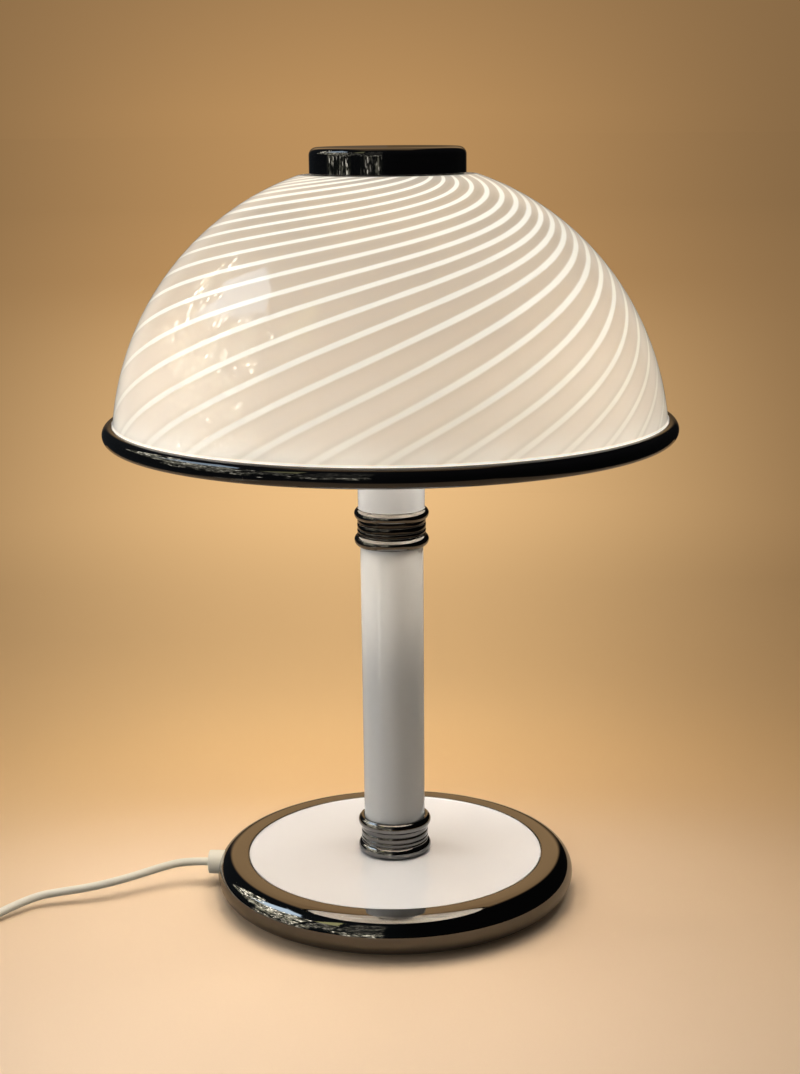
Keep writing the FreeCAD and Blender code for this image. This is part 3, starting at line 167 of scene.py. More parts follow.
def add_cords(material, switch_pieces, plug_pieces):
    """The lead from the gland to the switch, and the one from the switch through the coil to the plug."""
    first = from_mouth(LAMP_LEAD)
    add_cord("lamp_lead", first, ["cord_lamp_lead"], material, length=LAMP_LEAD_LENGTH, far_end="fitting",
             with_pieces=[frame["nodes"]["cord_gland"]] + switch_pieces)
    second = from_mouth(SWITCH_LEAD)
    second += coil_points(second[-1])
    second += from_mouth(PLUG_LEAD)
    add_cord("mains_lead", second, ["cord_switch_lead", "cord_coil", "cord_plug_lead"], material,
             length=MAINS_LENGTH, far_end="plug", with_pieces=[frame["nodes"]["coil_tie"]] + plug_pieces)


class Tree:
    """The nodes of one material or of the world, made by short calls that return an output socket."""

    def __init__(self, name, owner=None, coordinates="Object"):
        self.material = owner or bpy.data.materials.new(name)
        self.material.use_nodes = True
        self.nodes = self.material.node_tree.nodes
        self.links = self.material.node_tree.links
        self.shader = self.nodes.get("Principled BSDF")
        self.place = self.nodes.new("ShaderNodeTexCoord").outputs[coordinates]

    def put(self, socket, value):
        """Links an output to an input socket, or writes a constant on it."""
        if isinstance(value, bpy.types.NodeSocket):
            self.links.new(value, socket)
        else:
            socket.default_value = value

    def set(self, **values):
        """Writes or links the main shader's inputs, named with underscores for spaces."""
        for name, value in values.items():
            self.put(self.shader.inputs[name.replace("_", " ")], value)

    def maths(self, operation, *terms):
        """The result of one operation, which may take one, two or three terms."""
        node = self.nodes.new("ShaderNodeMath")
        node.operation = operation
        for socket, term in zip(node.inputs, terms):
            self.put(socket, term)
        return node.outputs[0]

    def polynomial(self, variable, factors):
        """factors[0] * v + factors[1] * v ** 2 and so on."""
        total = 0.0
        for factor in reversed(factors):
            total = self.maths("MULTIPLY", self.maths("ADD", total, factor), variable)
        return total

    def remap(self, value, low, high, to_low, to_high, smooth=False):
        """A value between low and high, carried over to the range from to_low to to_high."""
        node = self.nodes.new("ShaderNodeMapRange")
        node.interpolation_type = "SMOOTHSTEP" if smooth else "LINEAR"
        for socket, term in zip(node.inputs, (value, low, high, to_low, to_high)):
            self.put(socket, term)
        return node.outputs[0]

    def stretched(self, stretch):
        """The piece's own coordinates, multiplied along each axis."""
        node = self.nodes.new("ShaderNodeMapping")
        self.put(node.inputs["Vector"], self.place)
        node.inputs["Scale"].default_value = stretch
        return node.outputs[0]

    def noise(self, scale, detail=3.0, rough=0.5, stretch=None):
        node = self.nodes.new("ShaderNodeTexNoise")
        self.put(node.inputs["Vector"], self.stretched(stretch) if stretch else self.place)
        node.inputs["Scale"].default_value = scale
        node.inputs["Detail"].default_value = detail
        node.inputs["Roughness"].default_value = rough
        return node.outputs["Fac"]

    def cells(self, scale):
        """Distance from the nearest of the points scattered through space."""
        node = self.nodes.new("ShaderNodeTexVoronoi")
        self.put(node.inputs["Vector"], self.place)
        node.inputs["Scale"].default_value = scale
        return node.outputs["Distance"]

    def mix(self, factor, first, second):
        """A mix of two colours."""
        node = self.nodes.new("ShaderNodeMix")
        node.data_type = "RGBA"
        self.put(node.inputs["Factor"], factor)
        sockets = [socket for socket in node.inputs if socket.type == "RGBA"]
        self.put(sockets[0], first)
        self.put(sockets[1], second)
        return [socket for socket in node.outputs if socket.type == "RGBA"][0]

    def bump(self, height, distance, strength=1.0):
        """Sets the shader's normal from a height between 0 and 1, distance in metres."""
        node = self.nodes.new("ShaderNodeBump")
        node.inputs["Distance"].default_value = distance
        node.inputs["Strength"].default_value = strength
        self.put(node.inputs["Height"], height)
        self.set(Normal=node.outputs[0])

    def separate(self, turned=0.0):
        """x, y and z, with the axes turned about Z by an angle."""
        node = self.nodes.new("ShaderNodeSeparateXYZ")
        turn = self.nodes.new("ShaderNodeMapping")
        turn.inputs["Rotation"].default_value = (0.0, 0.0, -turned)
        self.put(turn.inputs["Vector"], self.place)
        self.put(node.inputs[0], turn.outputs[0])
        return node.outputs

    def length(self, x, y):
        """Distance from the axis."""
        squares = self.maths("ADD", self.maths("MULTIPLY", x, x), self.maths("MULTIPLY", y, y))
        return self.maths("SQRT", squares)

    def band(self, value, low, high, soft):
        """1 between low and high, falling softly to 0 outside."""
        rise = self.remap(value, low - soft, low + soft, 0.0, 1.0, smooth=True)
        fall = self.remap(value, high - soft, high + soft, 1.0, 0.0, smooth=True)
        return self.maths("MULTIPLY", rise, fall)

    def seen_by(self, *rays):
        """1 for rays of the named kinds."""
        path = self.nodes.new("ShaderNodeLightPath")
        total = 0.0
        for ray in rays:
            total = self.maths("MAXIMUM", total, path.outputs["Is " + ray + " Ray"])
        return total

    def facing(self):
        """0 where a surface faces the eye, 1 at its outline."""
        return self.nodes.new("ShaderNodeLayerWeight").outputs["Facing"]

    def emission(self, colour, strength=1.0):
        node = self.nodes.new("ShaderNodeEmission")
        self.put(node.inputs["Color"], colour)
        self.put(node.inputs["Strength"], strength)
        return node.outputs[0]

    def blend(self, factor, first, second):
        """A mix of two shaders."""
        node = self.nodes.new("ShaderNodeMixShader")
        self.put(node.inputs[0], factor)
        self.put(node.inputs[1], first)
        self.put(node.inputs[2], second)
        return node.outputs[0]

    def finish(self, shader):
        """Makes a shader the output."""
        out = self.nodes.get("Material Output") or self.nodes["World Output"]
        self.put(out.inputs["Surface"], shader)


def rgba(red, green, blue):
    return (red, green, blue, 1.0)


def heights(node):
    """A node's lowest and highest point in millimetres."""
    low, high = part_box(node)
    return low.z / MM, high.z / MM


def reach(node):
    """A round node's outer radius in millimetres."""
    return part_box(node)[1].x / MM


# Sizes that the nodes' boxes don't give, in millimetres
DOME_RADIUS = 171.6
DOME_RISE = 175.2
DOME_MIDDLE = 294.4
GLASS_WALL = 4.0
GLASS_HOLE = 24.0
GLASS_HOLE_EDGE = 0.3
GLASS_TOP_BEND = 3.0
DOME_STEPS = 110
RIM_SECTION = 5.75
RIM_SHIFT = 0.2
RIM_GROOVE_GAP = 0.6
RIM_GROOVE_FLOOR = 1.0
RIM_LIP = 1.6
RIM_LIP_RISE = 6.0
RIM_LIP_EDGE = 0.5
RIM_STEPS = 36
CAP_BEND = 4.8
CAP_INNER_BEND = 4.0
CAP_EDGE = 0.4
CAP_WALL = 1.5
COLLAR_BODY = 21.6
COLLAR_BEAD = 23.5
COLLAR_BEAD_HALF = 3.3
COLLAR_BEAD_INSET = 3.5
COLLAR_BEAD_STEPS = 8
COLLAR_GROOVE_PLACES = (1 / 8, 3 / 8, 6 / 8)
COLLAR_GROOVE = ((0.0, -0.42), (0.1, -0.3), (0.45, -0.08), (0.45, 0.08), (0.1, 0.3), (0.0, 0.42))
COLLAR_EDGE = 0.1
COLLAR_FOOT_EDGE = 0.3
COLLAR_WEB = 3.0
SLIP_GAP = 0.1
ROD_GAP = 0.5
STEM_WALL = 1.5
SLEEVE_WALL = 1.4
TUBE_EDGE = 0.25
DISC_ROD_GAP = 0.05
DISC_FOOT_EDGE = 0.5
DISC_HEAD_EDGE = 0.7
RING_LIP = 7.4
RING_LIP_EDGE = 0.5
RING_WALL = 1.5
RING_LEDGE = 5.0
RING_FOOT = 6.5
RING_FOOT_EDGE = 0.3
RING_INNER_STEP = 0.4
RING_STEPS = 48

# The glass: stripes of pale glass laid in as a swirl, seen from outside and inside
STRIPE_COUNT = 24
FIRST_STRIPE = math.radians(293.9)
SWIRL_TURN = (51.8, 184.0, -380.6, 369.9)
SWIRL_SHIFT_RIGHT = (50.0, -41.0, 9.0)
SWIRL_SHIFT_BACK = (47.0, -63.0, -11.0)
SPACING_WAVES = ((1, 2.0, 16.5), (2, -2.8, 0.4), (3, -0.4, -1.4))
STRIPE_PITCH_LOW = 26.0
STRIPE_PITCH_HIGH = 7.7
STRIPE_CROWDING = 0.29
STRIPE_WOBBLE = math.radians(1.0)
STRIPE_HALF_LOW = 2.0
STRIPE_HALF_HIGH = 1.6
STRIPE_SOFT_LOW = 1.1
STRIPE_SOFT_HIGH = 0.6
# Width of the painted shadow beside each stripe, in millimetres
STRIPE_SHADOW_WIDTH = 4.5
GLOW_LOW = 0.80
GLOW_HIGH = 0.42
GLOW_FOOT = 0.2
GLOW_RADIUS = (0.013, 0.0128, 0.0124)
# A painted glow on the glass just above the rim ring: where it starts and fades above the ring's top in
# millimetres, and its emission colours
GLOW_LINE_FOOT = 0.2
GLOW_LINE_HEAD = 1.8
NO_GLOW_LINE = rgba(0.0, 0.0, 0.0)
PAINTED_GLOW_TONE = rgba(0.45, 0.41, 0.365)
GLASS_LOW = (rgba(0.83, 0.735, 0.65), rgba(0.88, 0.79, 0.71))
GLASS_HIGH = (rgba(0.47, 0.405, 0.325), rgba(0.53, 0.465, 0.38))
# Painted shade under the cap, painted light at the glass's foot, painted shadow beside each stripe and a
# painted sheen toward the outline
GLASS_TOP = rgba(0.46, 0.43, 0.39)
GLASS_FOOT_LIGHT = rgba(0.97, 0.90, 0.82)
GLASS_STRIPE_SHADOW = rgba(0.60, 0.54, 0.465)
GLASS_OUTLINE_SHEEN = rgba(0.93, 0.86, 0.77)
STRIPE_LOW = rgba(0.95, 0.875, 0.795)
STRIPE_HIGH = rgba(0.97, 0.94, 0.84)


def swirl_stripes(tree):
    """Distance from the nearest stripe's middle in millimetres, and the height's share of the dome.
    The swirl turns with height about a middle that drifts from the dome's axis, and its stripes
    stand closer on one side than on the other."""
    low, high = heights("glass_shade")
    x, y, z = tree.separate()
    share = tree.remap(z, low * MM, high * MM, 0.0, 1.0)
    cos, sin = math.cos(LAMP_AZIMUTH), math.sin(LAMP_AZIMUTH)
    shift_x = [(a * cos - b * sin) * MM for a, b in zip(SWIRL_SHIFT_RIGHT, SWIRL_SHIFT_BACK)]
    shift_y = [(a * sin + b * cos) * MM for a, b in zip(SWIRL_SHIFT_RIGHT, SWIRL_SHIFT_BACK)]
    east = tree.maths("SUBTRACT", x, tree.polynomial(share, shift_x))
    north = tree.maths("SUBTRACT", y, tree.polynomial(share, shift_y))
    angle = tree.maths("ARCTAN2", north, east)
    turn = tree.polynomial(share, [math.radians(value) for value in SWIRL_TURN])
    swirl = tree.maths("ADD", tree.maths("SUBTRACT", angle, turn), math.pi / 2 - LAMP_AZIMUTH)
    total = tree.maths("ADD", swirl, FIRST_STRIPE)
    for order, cosine, sine in SPACING_WAVES:
        wave = tree.maths("MULTIPLY", swirl, order)
        for operation, degrees in (("COSINE", cosine), ("SINE", sine)):
            swing = tree.maths("MULTIPLY", tree.maths(operation, wave), math.radians(degrees))
            total = tree.maths("ADD", total, swing)
    wobble = tree.maths("MULTIPLY", tree.maths("SUBTRACT", tree.noise(9.0, 2.0), 0.5), STRIPE_WOBBLE)
    total = tree.maths("ADD", total, wobble)
    phase = tree.maths("MULTIPLY", total, STRIPE_COUNT / (2 * math.pi))
    offset = tree.maths("SUBTRACT", tree.maths("FRACT", tree.maths("ADD", phase, 0.5)), 0.5)
    crowding = tree.maths("ADD", tree.maths("MULTIPLY", tree.maths("COSINE", swirl), STRIPE_CROWDING), 1.0)
    pitch = tree.remap(share, 0.0, 0.96, STRIPE_PITCH_LOW, STRIPE_PITCH_HIGH, smooth=True)
    return tree.maths("MULTIPLY", offset, tree.maths("DIVIDE", pitch, crowding)), share


def glass_tone(tree, stripe, inside, share):
    """The colour of the glass by the height's share, and of the stripes in it, with painted shade under the
    cap, painted light at the foot, painted shadow beside each stripe and a painted sheen toward the outline.
    """
    # The mask of the painted shadow beside each stripe
    shade = tree.remap(inside, -STRIPE_SHADOW_WIDTH, 0.0, 0.0, 1.0, smooth=True)
    cloud = tree.noise(14.0, 4.0, 0.55, stretch=(1.0, 1.0, 2.0))
    low = tree.mix(cloud, *GLASS_LOW)
    high = tree.mix(cloud, *GLASS_HIGH)
    ground = tree.mix(tree.remap(share, 0.05, 0.95, 0.0, 1.0), low, high)
    # Painted shade under the cap, painted light at the foot, painted shadow beside the stripes and a painted
    # sheen toward the outline
    ground = tree.mix(tree.remap(share, 0.90, 1.0, 0.0, 0.55, smooth=True), ground, GLASS_TOP)
    ground = tree.mix(tree.remap(share, 0.0, 0.16, 1.0, 0.0, smooth=True), ground, GLASS_FOOT_LIGHT)
    ground = tree.mix(tree.maths("MULTIPLY", shade, 0.35), ground, GLASS_STRIPE_SHADOW)
    ground = tree.mix(tree.remap(tree.facing(), 0.65, 0.95, 0.0, 0.55), ground, GLASS_OUTLINE_SHEEN)
    bright = tree.mix(tree.remap(share, 0.0, 0.5, 0.0, 1.0), STRIPE_LOW, STRIPE_HIGH)
    return tree.mix(stripe, ground, bright)


def swirl_glass():
    """Milky glass that also passes the light from inside, more so where it is blown thinner below, with a
    painted glow, an emission, in a band where it enters the rim ring."""
    tree = Tree("swirl_glass")
    offset, share = swirl_stripes(tree)
    waver = tree.remap(tree.noise(60.0, 2.0), 0.3, 0.7, -0.12, 0.12)
    half = tree.maths("ADD", waver, tree.remap(share, 0.0, 0.45, STRIPE_HALF_LOW, STRIPE_HALF_HIGH))
    inside = tree.maths("SUBTRACT", half, tree.maths("ABSOLUTE", offset))
    soft = tree.remap(share, 0.0, 0.5, STRIPE_SOFT_LOW, STRIPE_SOFT_HIGH)
    stripe = tree.remap(inside, tree.maths("MULTIPLY", soft, -1.0), soft, 0.0, 1.0, smooth=True)
    smear = tree.noise(30.0, 4.0, 0.6)
    glow = tree.remap(share, 0.10, 0.85, GLOW_LOW, GLOW_HIGH, smooth=True)
    glow = tree.maths("ADD", glow, tree.remap(share, 0.0, 0.18, GLOW_FOOT, 0.0, smooth=True))
    # A painted glow: emission in a band just above the rim ring's top
    lip = heights("rim_ring")[1]
    painted_glow = tree.remap(tree.separate()[2], (lip + GLOW_LINE_FOOT) * MM, (lip + GLOW_LINE_HEAD) * MM, 1.0, 0.0,
                       smooth=True)
    tree.set(Base_Color=glass_tone(tree, stripe, inside, share),
             Roughness=tree.remap(smear, 0.35, 0.7, 0.008, 0.022), IOR=1.5,
             Emission_Color=tree.mix(painted_glow, NO_GLOW_LINE, PAINTED_GLOW_TONE), Emission_Strength=1.0,
             Specular_IOR_Level=tree.remap(tree.facing(), 0.42, 0.75, 0.5, 0.05),
             Subsurface_Weight=glow, Subsurface_Radius=GLOW_RADIUS, Subsurface_Scale=1.0)
    seeds = tree.remap(tree.cells(260.0), 0.0, 0.12, 1.0, 0.0, smooth=True)
    relief = tree.maths("ADD", tree.maths("MULTIPLY", stripe, 0.6), tree.maths("MULTIPLY", seeds, 0.25))
    swell = tree.maths("MULTIPLY", tree.noise(16.0, 2.0), 2.0)
    tree.bump(tree.maths("ADD", relief, swell), 0.00006)
    return tree.material


def black_lacquer():
    """Black lacquer with a little dust, polished to a gloss that is hazy in places."""
    tree = Tree("black_lacquer")
    dust = tree.remap(tree.noise(900.0, 2.0), 0.68, 0.8, 0.0, 1.0)
    haze = tree.noise(24.0, 4.0, 0.6)
    tree.set(Base_Color=tree.mix(dust, rgba(0.0035, 0.0035, 0.004), rgba(0.02, 0.019, 0.017)),
             Roughness=tree.remap(haze, 0.3, 0.75, 0.02, 0.05), IOR=1.65)
    tree.bump(tree.noise(170.0, 2.0), 0.00001, 0.6)
    return tree.material


# Dark nickel: its tones, and the painted shade in the lower and the upper collar's bands, which stands for
# the dark room they reflect: its tone, its shares and their height
NICKEL_TONES = (rgba(0.165, 0.160, 0.157), rgba(0.20, 0.195, 0.19))
COLLAR_SHADE_TONE = rgba(0.02, 0.019, 0.018)
COLLAR_SHADE_SHARES = (0.22, 0.74)
COLLAR_SHADE_RISE = (20.0, 10.0)


def dark_nickel():
    """Dark nickel, darkened with painted shade in the grooved bands of the collars, most of all in the upper
    one.
    """
    tree = Tree("dark_nickel")
    tone = tree.noise(18.0, 4.0, 0.55)
    scratch = tree.noise(520.0, 3.0, 0.6, stretch=(1.0, 1.0, 9.0))
    x, y, z = tree.separate()
    foot = heights("upper_collar")[0]
    start, stop = COLLAR_SHADE_RISE
    band = tree.remap(tree.length(x, y), (COLLAR_BODY + 0.2) * MM, (COLLAR_BODY + 0.5) * MM, 1.0, 0.0)
    share = tree.remap(z, (foot - start) * MM, (foot - stop) * MM, *COLLAR_SHADE_SHARES)
    # Painted shade in the collars' grooved bands, for the dark room they reflect
    collar_shade = tree.maths("MULTIPLY", band, share)
    tree.set(Base_Color=tree.mix(collar_shade, tree.mix(tone, *NICKEL_TONES), COLLAR_SHADE_TONE), Metallic=1.0,
             Roughness=tree.remap(scratch, 0.35, 0.75, 0.035, 0.09), Coat_Weight=0.15, Coat_Roughness=0.03)
    tree.bump(scratch, 0.000004, 0.5)
    return tree.material


# Enamel: tones of the pieces, with painted shade in the column's grey and the sleeve's tone and painted
# light in the column's head tone, and where the column's changes, in millimetres below the sleeve's foot
COLUMN_TONES = (rgba(0.475, 0.47, 0.455), rgba(0.515, 0.51, 0.495))
COLUMN_PAINTED_LIGHT = rgba(0.70, 0.685, 0.655)
COLUMN_RISE = (113.0, 58.0)
COLUMN_FALL = (56.0, 28.0)
SLEEVE_SHADE_TONE = rgba(0.39, 0.395, 0.40)
SLEEVE_STEP = (2.0, 1.0)
DISC_TONES = (rgba(0.805, 0.80, 0.81), rgba(0.845, 0.84, 0.85))
DISC_STEP = (21.5, 22.5)


def white_enamel():
    """Glossy enamel, white on the base; grey with painted shade on the column, lighter with painted light
    from the bulbs below the sleeve, and darker with painted shade on the sleeve.
    """
    tree = Tree("white_enamel")
    x, y, z = tree.separate()
    foot = heights("upper_sleeve")[0]
    tone = tree.noise(11.0, 3.0, 0.5)

    def below(step, to_low, to_high, smooth=False):
        return tree.remap(z, (foot - step[0]) * MM, (foot - step[1]) * MM, to_low, to_high, smooth)

    # Painted light from the bulbs on the column's upper part, over the grey of painted shade below it
    painted_light = tree.maths("MULTIPLY", below(COLUMN_RISE, 0.0, 1.0, smooth=True), below(COLUMN_FALL, 1.0, 0.7))
    column = tree.mix(painted_light, tree.mix(tone, *COLUMN_TONES), COLUMN_PAINTED_LIGHT)
    # Painted shade on the sleeve
    column = tree.mix(below(SLEEVE_STEP, 0.0, 1.0), column, SLEEVE_SHADE_TONE)
    outside = tree.remap(tree.length(x, y), DISC_STEP[0] * MM, DISC_STEP[1] * MM, 0.0, 1.0)
    tree.set(Base_Color=tree.mix(outside, column, tree.mix(tone, *DISC_TONES)),
             Roughness=tree.remap(tree.noise(45.0, 3.0), 0.3, 0.7, 0.03, 0.06), IOR=1.5)
    tree.bump(tree.noise(420.0, 2.0, 0.5), 0.000012, 0.5)
    return tree.material


def moulded(name, dark, light, rough_low, rough_high, grain=700.0, depth=0.00002):
    """Moulded plastic or rubber: faint flow marks in its colour, fine grain on its surface."""
    tree = Tree(name)
    flow = tree.noise(35.0, 3.0, 0.5)
    texture = tree.noise(grain, 3.0, 0.6)
    tree.set(Base_Color=tree.mix(flow, dark, light),
             Roughness=tree.remap(texture, 0.3, 0.7, rough_low, rough_high), IOR=1.48)
    tree.bump(texture, depth, 0.7)
    return tree.material


def plated_steel():
    """Zinc plated steel with a spangle, brushed round."""
    tree = Tree("zinc_steel")
    spangle = tree.cells(320.0)
    brush = tree.noise(380.0, 3.0, 0.6, stretch=(1.0, 1.0, 14.0))
    tree.set(Base_Color=tree.mix(spangle, rgba(0.54, 0.535, 0.52), rgba(0.66, 0.655, 0.64)), Metallic=1.0,
             Roughness=tree.remap(brush, 0.3, 0.75, 0.22, 0.40))
    tree.bump(brush, 0.00001, 0.6)
    return tree.material


def plain_metal(name, dark, light, rough_low, rough_high):
    """Bare metal, tarnished in patches."""
    tree = Tree(name)
    tarnish = tree.noise(70.0, 5.0, 0.6)
    brush = tree.noise(900.0, 2.0, 0.5)
    tree.set(Base_Color=tree.mix(tarnish, dark, light), Metallic=1.0,
             Roughness=tree.remap(tarnish, 0.3, 0.7, rough_low, rough_high))
    tree.bump(brush, 0.000006, 0.6)
    return tree.material


def cast_iron():
    """A rough casting skin with a little rust."""
    tree = Tree("cast_iron")
    skin = tree.noise(260.0, 6.0, 0.65)
    rust = tree.remap(tree.noise(32.0, 5.0, 0.6), 0.55, 0.72, 0.0, 1.0)
    iron = tree.mix(skin, rgba(0.045, 0.045, 0.048), rgba(0.10, 0.10, 0.105))
    tree.set(Base_Color=tree.mix(rust, iron, rgba(0.12, 0.055, 0.03)), Metallic=0.4,
             Roughness=tree.remap(skin, 0.3, 0.7, 0.55, 0.85))
    tree.bump(skin, 0.0003, 0.8)
    return tree.material


def felt():
    """Dark green felt, with its fibres and tufts."""
    tree = Tree("felt")
    fibre = tree.noise(1400.0, 6.0, 0.75)
    tuft = tree.noise(120.0, 4.0, 0.6)
    tree.set(Base_Color=tree.mix(tuft, rgba(0.014, 0.028, 0.017), rgba(0.034, 0.060, 0.038)),
             Roughness=0.95, Sheen_Weight=0.5, Sheen_Roughness=0.5)
    tree.bump(tree.maths("ADD", fibre, tuft), 0.00035, 0.9)
    return tree.material


def cork():
    """Pressed cork grains with dark spots."""
    tree = Tree("cork")
    grain = tree.cells(900.0)
    spots = tree.noise(300.0, 4.0, 0.7)
    body = tree.mix(grain, rgba(0.20, 0.105, 0.05), rgba(0.42, 0.25, 0.13))
    tree.set(Base_Color=tree.mix(tree.remap(spots, 0.62, 0.7, 0.0, 1.0), body, rgba(0.06, 0.03, 0.015)),
             Roughness=0.88)
    tree.bump(grain, 0.0002, 0.8)
    return tree.material


def porcelain():
    """Glazed porcelain."""
    tree = Tree("porcelain")
    glaze = tree.noise(60.0, 3.0, 0.5)
    tree.set(Base_Color=tree.mix(glaze, rgba(0.78, 0.77, 0.73), rgba(0.86, 0.85, 0.82)),
             Roughness=tree.remap(glaze, 0.3, 0.7, 0.12, 0.24), Coat_Weight=0.5, Coat_Roughness=0.08)
    tree.bump(tree.noise(220.0, 2.0), 0.00003, 0.5)
    return tree.material


def bulb_opal():
    """Opal glass that the light comes through."""
    tree = Tree("bulb_opal")
    coat = tree.noise(28.0, 4.0, 0.5)
    tree.set(Base_Color=tree.mix(coat, rgba(0.88, 0.86, 0.80), rgba(0.93, 0.92, 0.88)),
             Roughness=tree.remap(tree.noise(240.0, 3.0), 0.3, 0.7, 0.10, 0.18), IOR=1.5,
             Subsurface_Weight=0.4, Subsurface_Radius=(0.004, 0.0035, 0.003), Subsurface_Scale=1.0)
    tree.bump(tree.noise(500.0, 2.0), 0.00001, 0.5)
    return tree.material


# Plain plastics, rubber and wires: dark and light tone, least and greatest roughness, grain and its depth
IVORY_DARK = rgba(0.77, 0.71, 0.58)
IVORY_LIGHT = rgba(0.83, 0.77, 0.65)
MOULDED = {
    "ivory_plastic": (IVORY_DARK, IVORY_LIGHT, 0.30, 0.42),
    "ivory_cord": (IVORY_DARK, IVORY_LIGHT, 0.38, 0.50, 1100.0, 0.00003),
    "rocker_plastic": (rgba(0.60, 0.53, 0.40), rgba(0.66, 0.59, 0.45), 0.26, 0.38),
    "white_plastic": (rgba(0.72, 0.72, 0.70), rgba(0.80, 0.80, 0.78), 0.4, 0.55),
    "holder_plastic": (rgba(0.72, 0.70, 0.65), rgba(0.79, 0.77, 0.72), 0.32, 0.46),
    "brown_wire": (rgba(0.09, 0.035, 0.018), rgba(0.13, 0.055, 0.028), 0.4, 0.5),
    "blue_wire": (rgba(0.02, 0.09, 0.34), rgba(0.035, 0.12, 0.42), 0.4, 0.5),
    "wire_sheath": (rgba(0.62, 0.60, 0.55), rgba(0.70, 0.68, 0.62), 0.45, 0.6),
    "rubber": (rgba(0.012, 0.012, 0.012), rgba(0.02, 0.02, 0.02), 0.6, 0.75),
}

# Plain metals: dark and light tone, least and greatest roughness
METALS = {
    "brass": (rgba(0.52, 0.34, 0.11), rgba(0.66, 0.46, 0.17), 0.20, 0.36),
    "bulb_metal": (rgba(0.58, 0.58, 0.58), rgba(0.70, 0.70, 0.70), 0.25, 0.38),
}


def make_materials():
    """One procedural material for each of the record's slots."""
    made = {
        "swirl_glass": swirl_glass(),
        "black_lacquer": black_lacquer(),
        "dark_nickel": dark_nickel(),
        "white_enamel": white_enamel(),
        "cast_iron": cast_iron(),
        "felt": felt(),
        "zinc_steel": plated_steel(),
        "porcelain": porcelain(),
        "bulb_opal": bulb_opal(),
        "cork": cork(),
    }
    for name, looks in MOULDED.items():
        made[name] = moulded(name, *looks)
    for name, looks in METALS.items():
        made[name] = plain_metal(name, *looks)
    return made


# Meshes of turned pieces: segments round a slim and a wide one, and the least angle of a sharp edge
LATHE_SEGMENTS = 240
WIDE_SEGMENTS = 320
SHARP_ANGLE = math.radians(40)


def rounded(corners, degrees_per_step=9.0):
    """An outline whose corners, given as (radius, height, fillet), are replaced by arcs."""
    points = []
    count = len(corners)
    for number, corner in enumerate(corners):
        here = Vector(corner[:2])
        fillet = corner[2] if len(corner) > 2 else 0.0
        if not fillet:
            points.append(tuple(here))
            continue
        back = (Vector(corners[number - 1][:2]) - here).normalized()
        onward = (Vector(corners[(number + 1) % count][:2]) - here).normalized()
        opening = back.angle(onward)
        cut = fillet / math.tan(opening / 2)
        centre = here + (back + onward).normalized() * (fillet / math.sin(opening / 2))
        first = here + back * cut - centre
        sweep = math.pi - opening
        side = 1.0 if first.x * onward.y - first.y * onward.x > 0 else -1.0
        steps = max(2, round(math.degrees(sweep) / degrees_per_step))
        for step in range(steps + 1):
            angle = side * sweep * step / steps
            cos, sin = math.cos(angle), math.sin(angle)
            points.append((centre.x + first.x * cos - first.y * sin,
                           centre.y + first.x * sin + first.y * cos))
    return points


def finish_mesh(name, mesh, body, slot, replaced, materials):
    """Puts a mesh into the scene as a piece on its body, in place of CAD nodes."""
    piece = bpy.data.objects.new(name, mesh)
    bpy.context.scene.collection.objects.link(piece)
    mesh.materials.append(materials[slot])
    mesh.shade_smooth()
    mesh.set_sharp_from_angle(angle=SHARP_ANGLE)
    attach(piece, body)
    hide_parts(*replaced)


def turned_mesh(name, outline, segments=LATHE_SEGMENTS):
    """A closed outline of (radius, height) in millimetres, turned about Z."""
    made = bmesh.new()
    rings = []
    for radius, height in outline:
        if radius < 1e-6:
            pole = made.verts.new((0.0, 0.0, height * MM))
            rings.append([pole] * segments)
            continue
        ring = []
        for number in range(segments):
            angle = 2 * math.pi * number / segments
            ring.append(made.verts.new((radius * math.cos(angle) * MM, radius * math.sin(angle) * MM,
                                        height * MM)))
        rings.append(ring)
    for low, high in zip(rings, rings[1:] + rings[:1]):
        for number in range(segments):
            after = (number + 1) % segments
            corners = []
            for vert in (low[number], low[after], high[after], high[number]):
                if vert not in corners:
                    corners.append(vert)
            if len(corners) > 2:
                made.faces.new(corners)
    bmesh.ops.recalc_face_normals(made, faces=made.faces)
    mesh = bpy.data.meshes.new(name)
    made.to_mesh(mesh)
    made.free()
    return mesh


def dome_points(radius, rise, low, high):
    """Points up the dome's ellipse, evenly spaced in its own angle."""
    start = math.asin((low - DOME_MIDDLE) / rise)
    stop = math.asin((high - DOME_MIDDLE) / rise)
    points = []
    for number in range(DOME_STEPS + 1):
        angle = start + (stop - start) * number / DOME_STEPS
        points.append((radius * math.cos(angle), DOME_MIDDLE + rise * math.sin(angle)))
    return points


def make_glass(materials):
    """The dome: open below, flat on top round its hole."""
    low, high = heights("glass_shade")
    under = high - GLASS_WALL
    outer = dome_points(DOME_RADIUS, DOME_RISE, low, high)
    inner = dome_points(DOME_RADIUS - GLASS_WALL, DOME_RISE - GLASS_WALL, low, under)
    top = rounded([outer[-2], (outer[-1][0], high, GLASS_TOP_BEND * 2), (GLASS_HOLE, high)])
    roof = rounded([(GLASS_HOLE, under), (inner[-1][0], under, GLASS_TOP_BEND), inner[-2]])
    hole = [(GLASS_HOLE + GLASS_HOLE_EDGE, high), (GLASS_HOLE, high - GLASS_HOLE_EDGE),
            (GLASS_HOLE, under + GLASS_HOLE_EDGE), (GLASS_HOLE + GLASS_HOLE_EDGE, under)]
    outline = outer[:-4] + top[1:-1] + hole + roof[1:-1] + inner[-5::-1]
    mesh = turned_mesh("glass_shade_skin", outline, WIDE_SEGMENTS)
    finish_mesh("glass_dome", mesh, "shade", "swirl_glass", ["glass_shade"], materials)


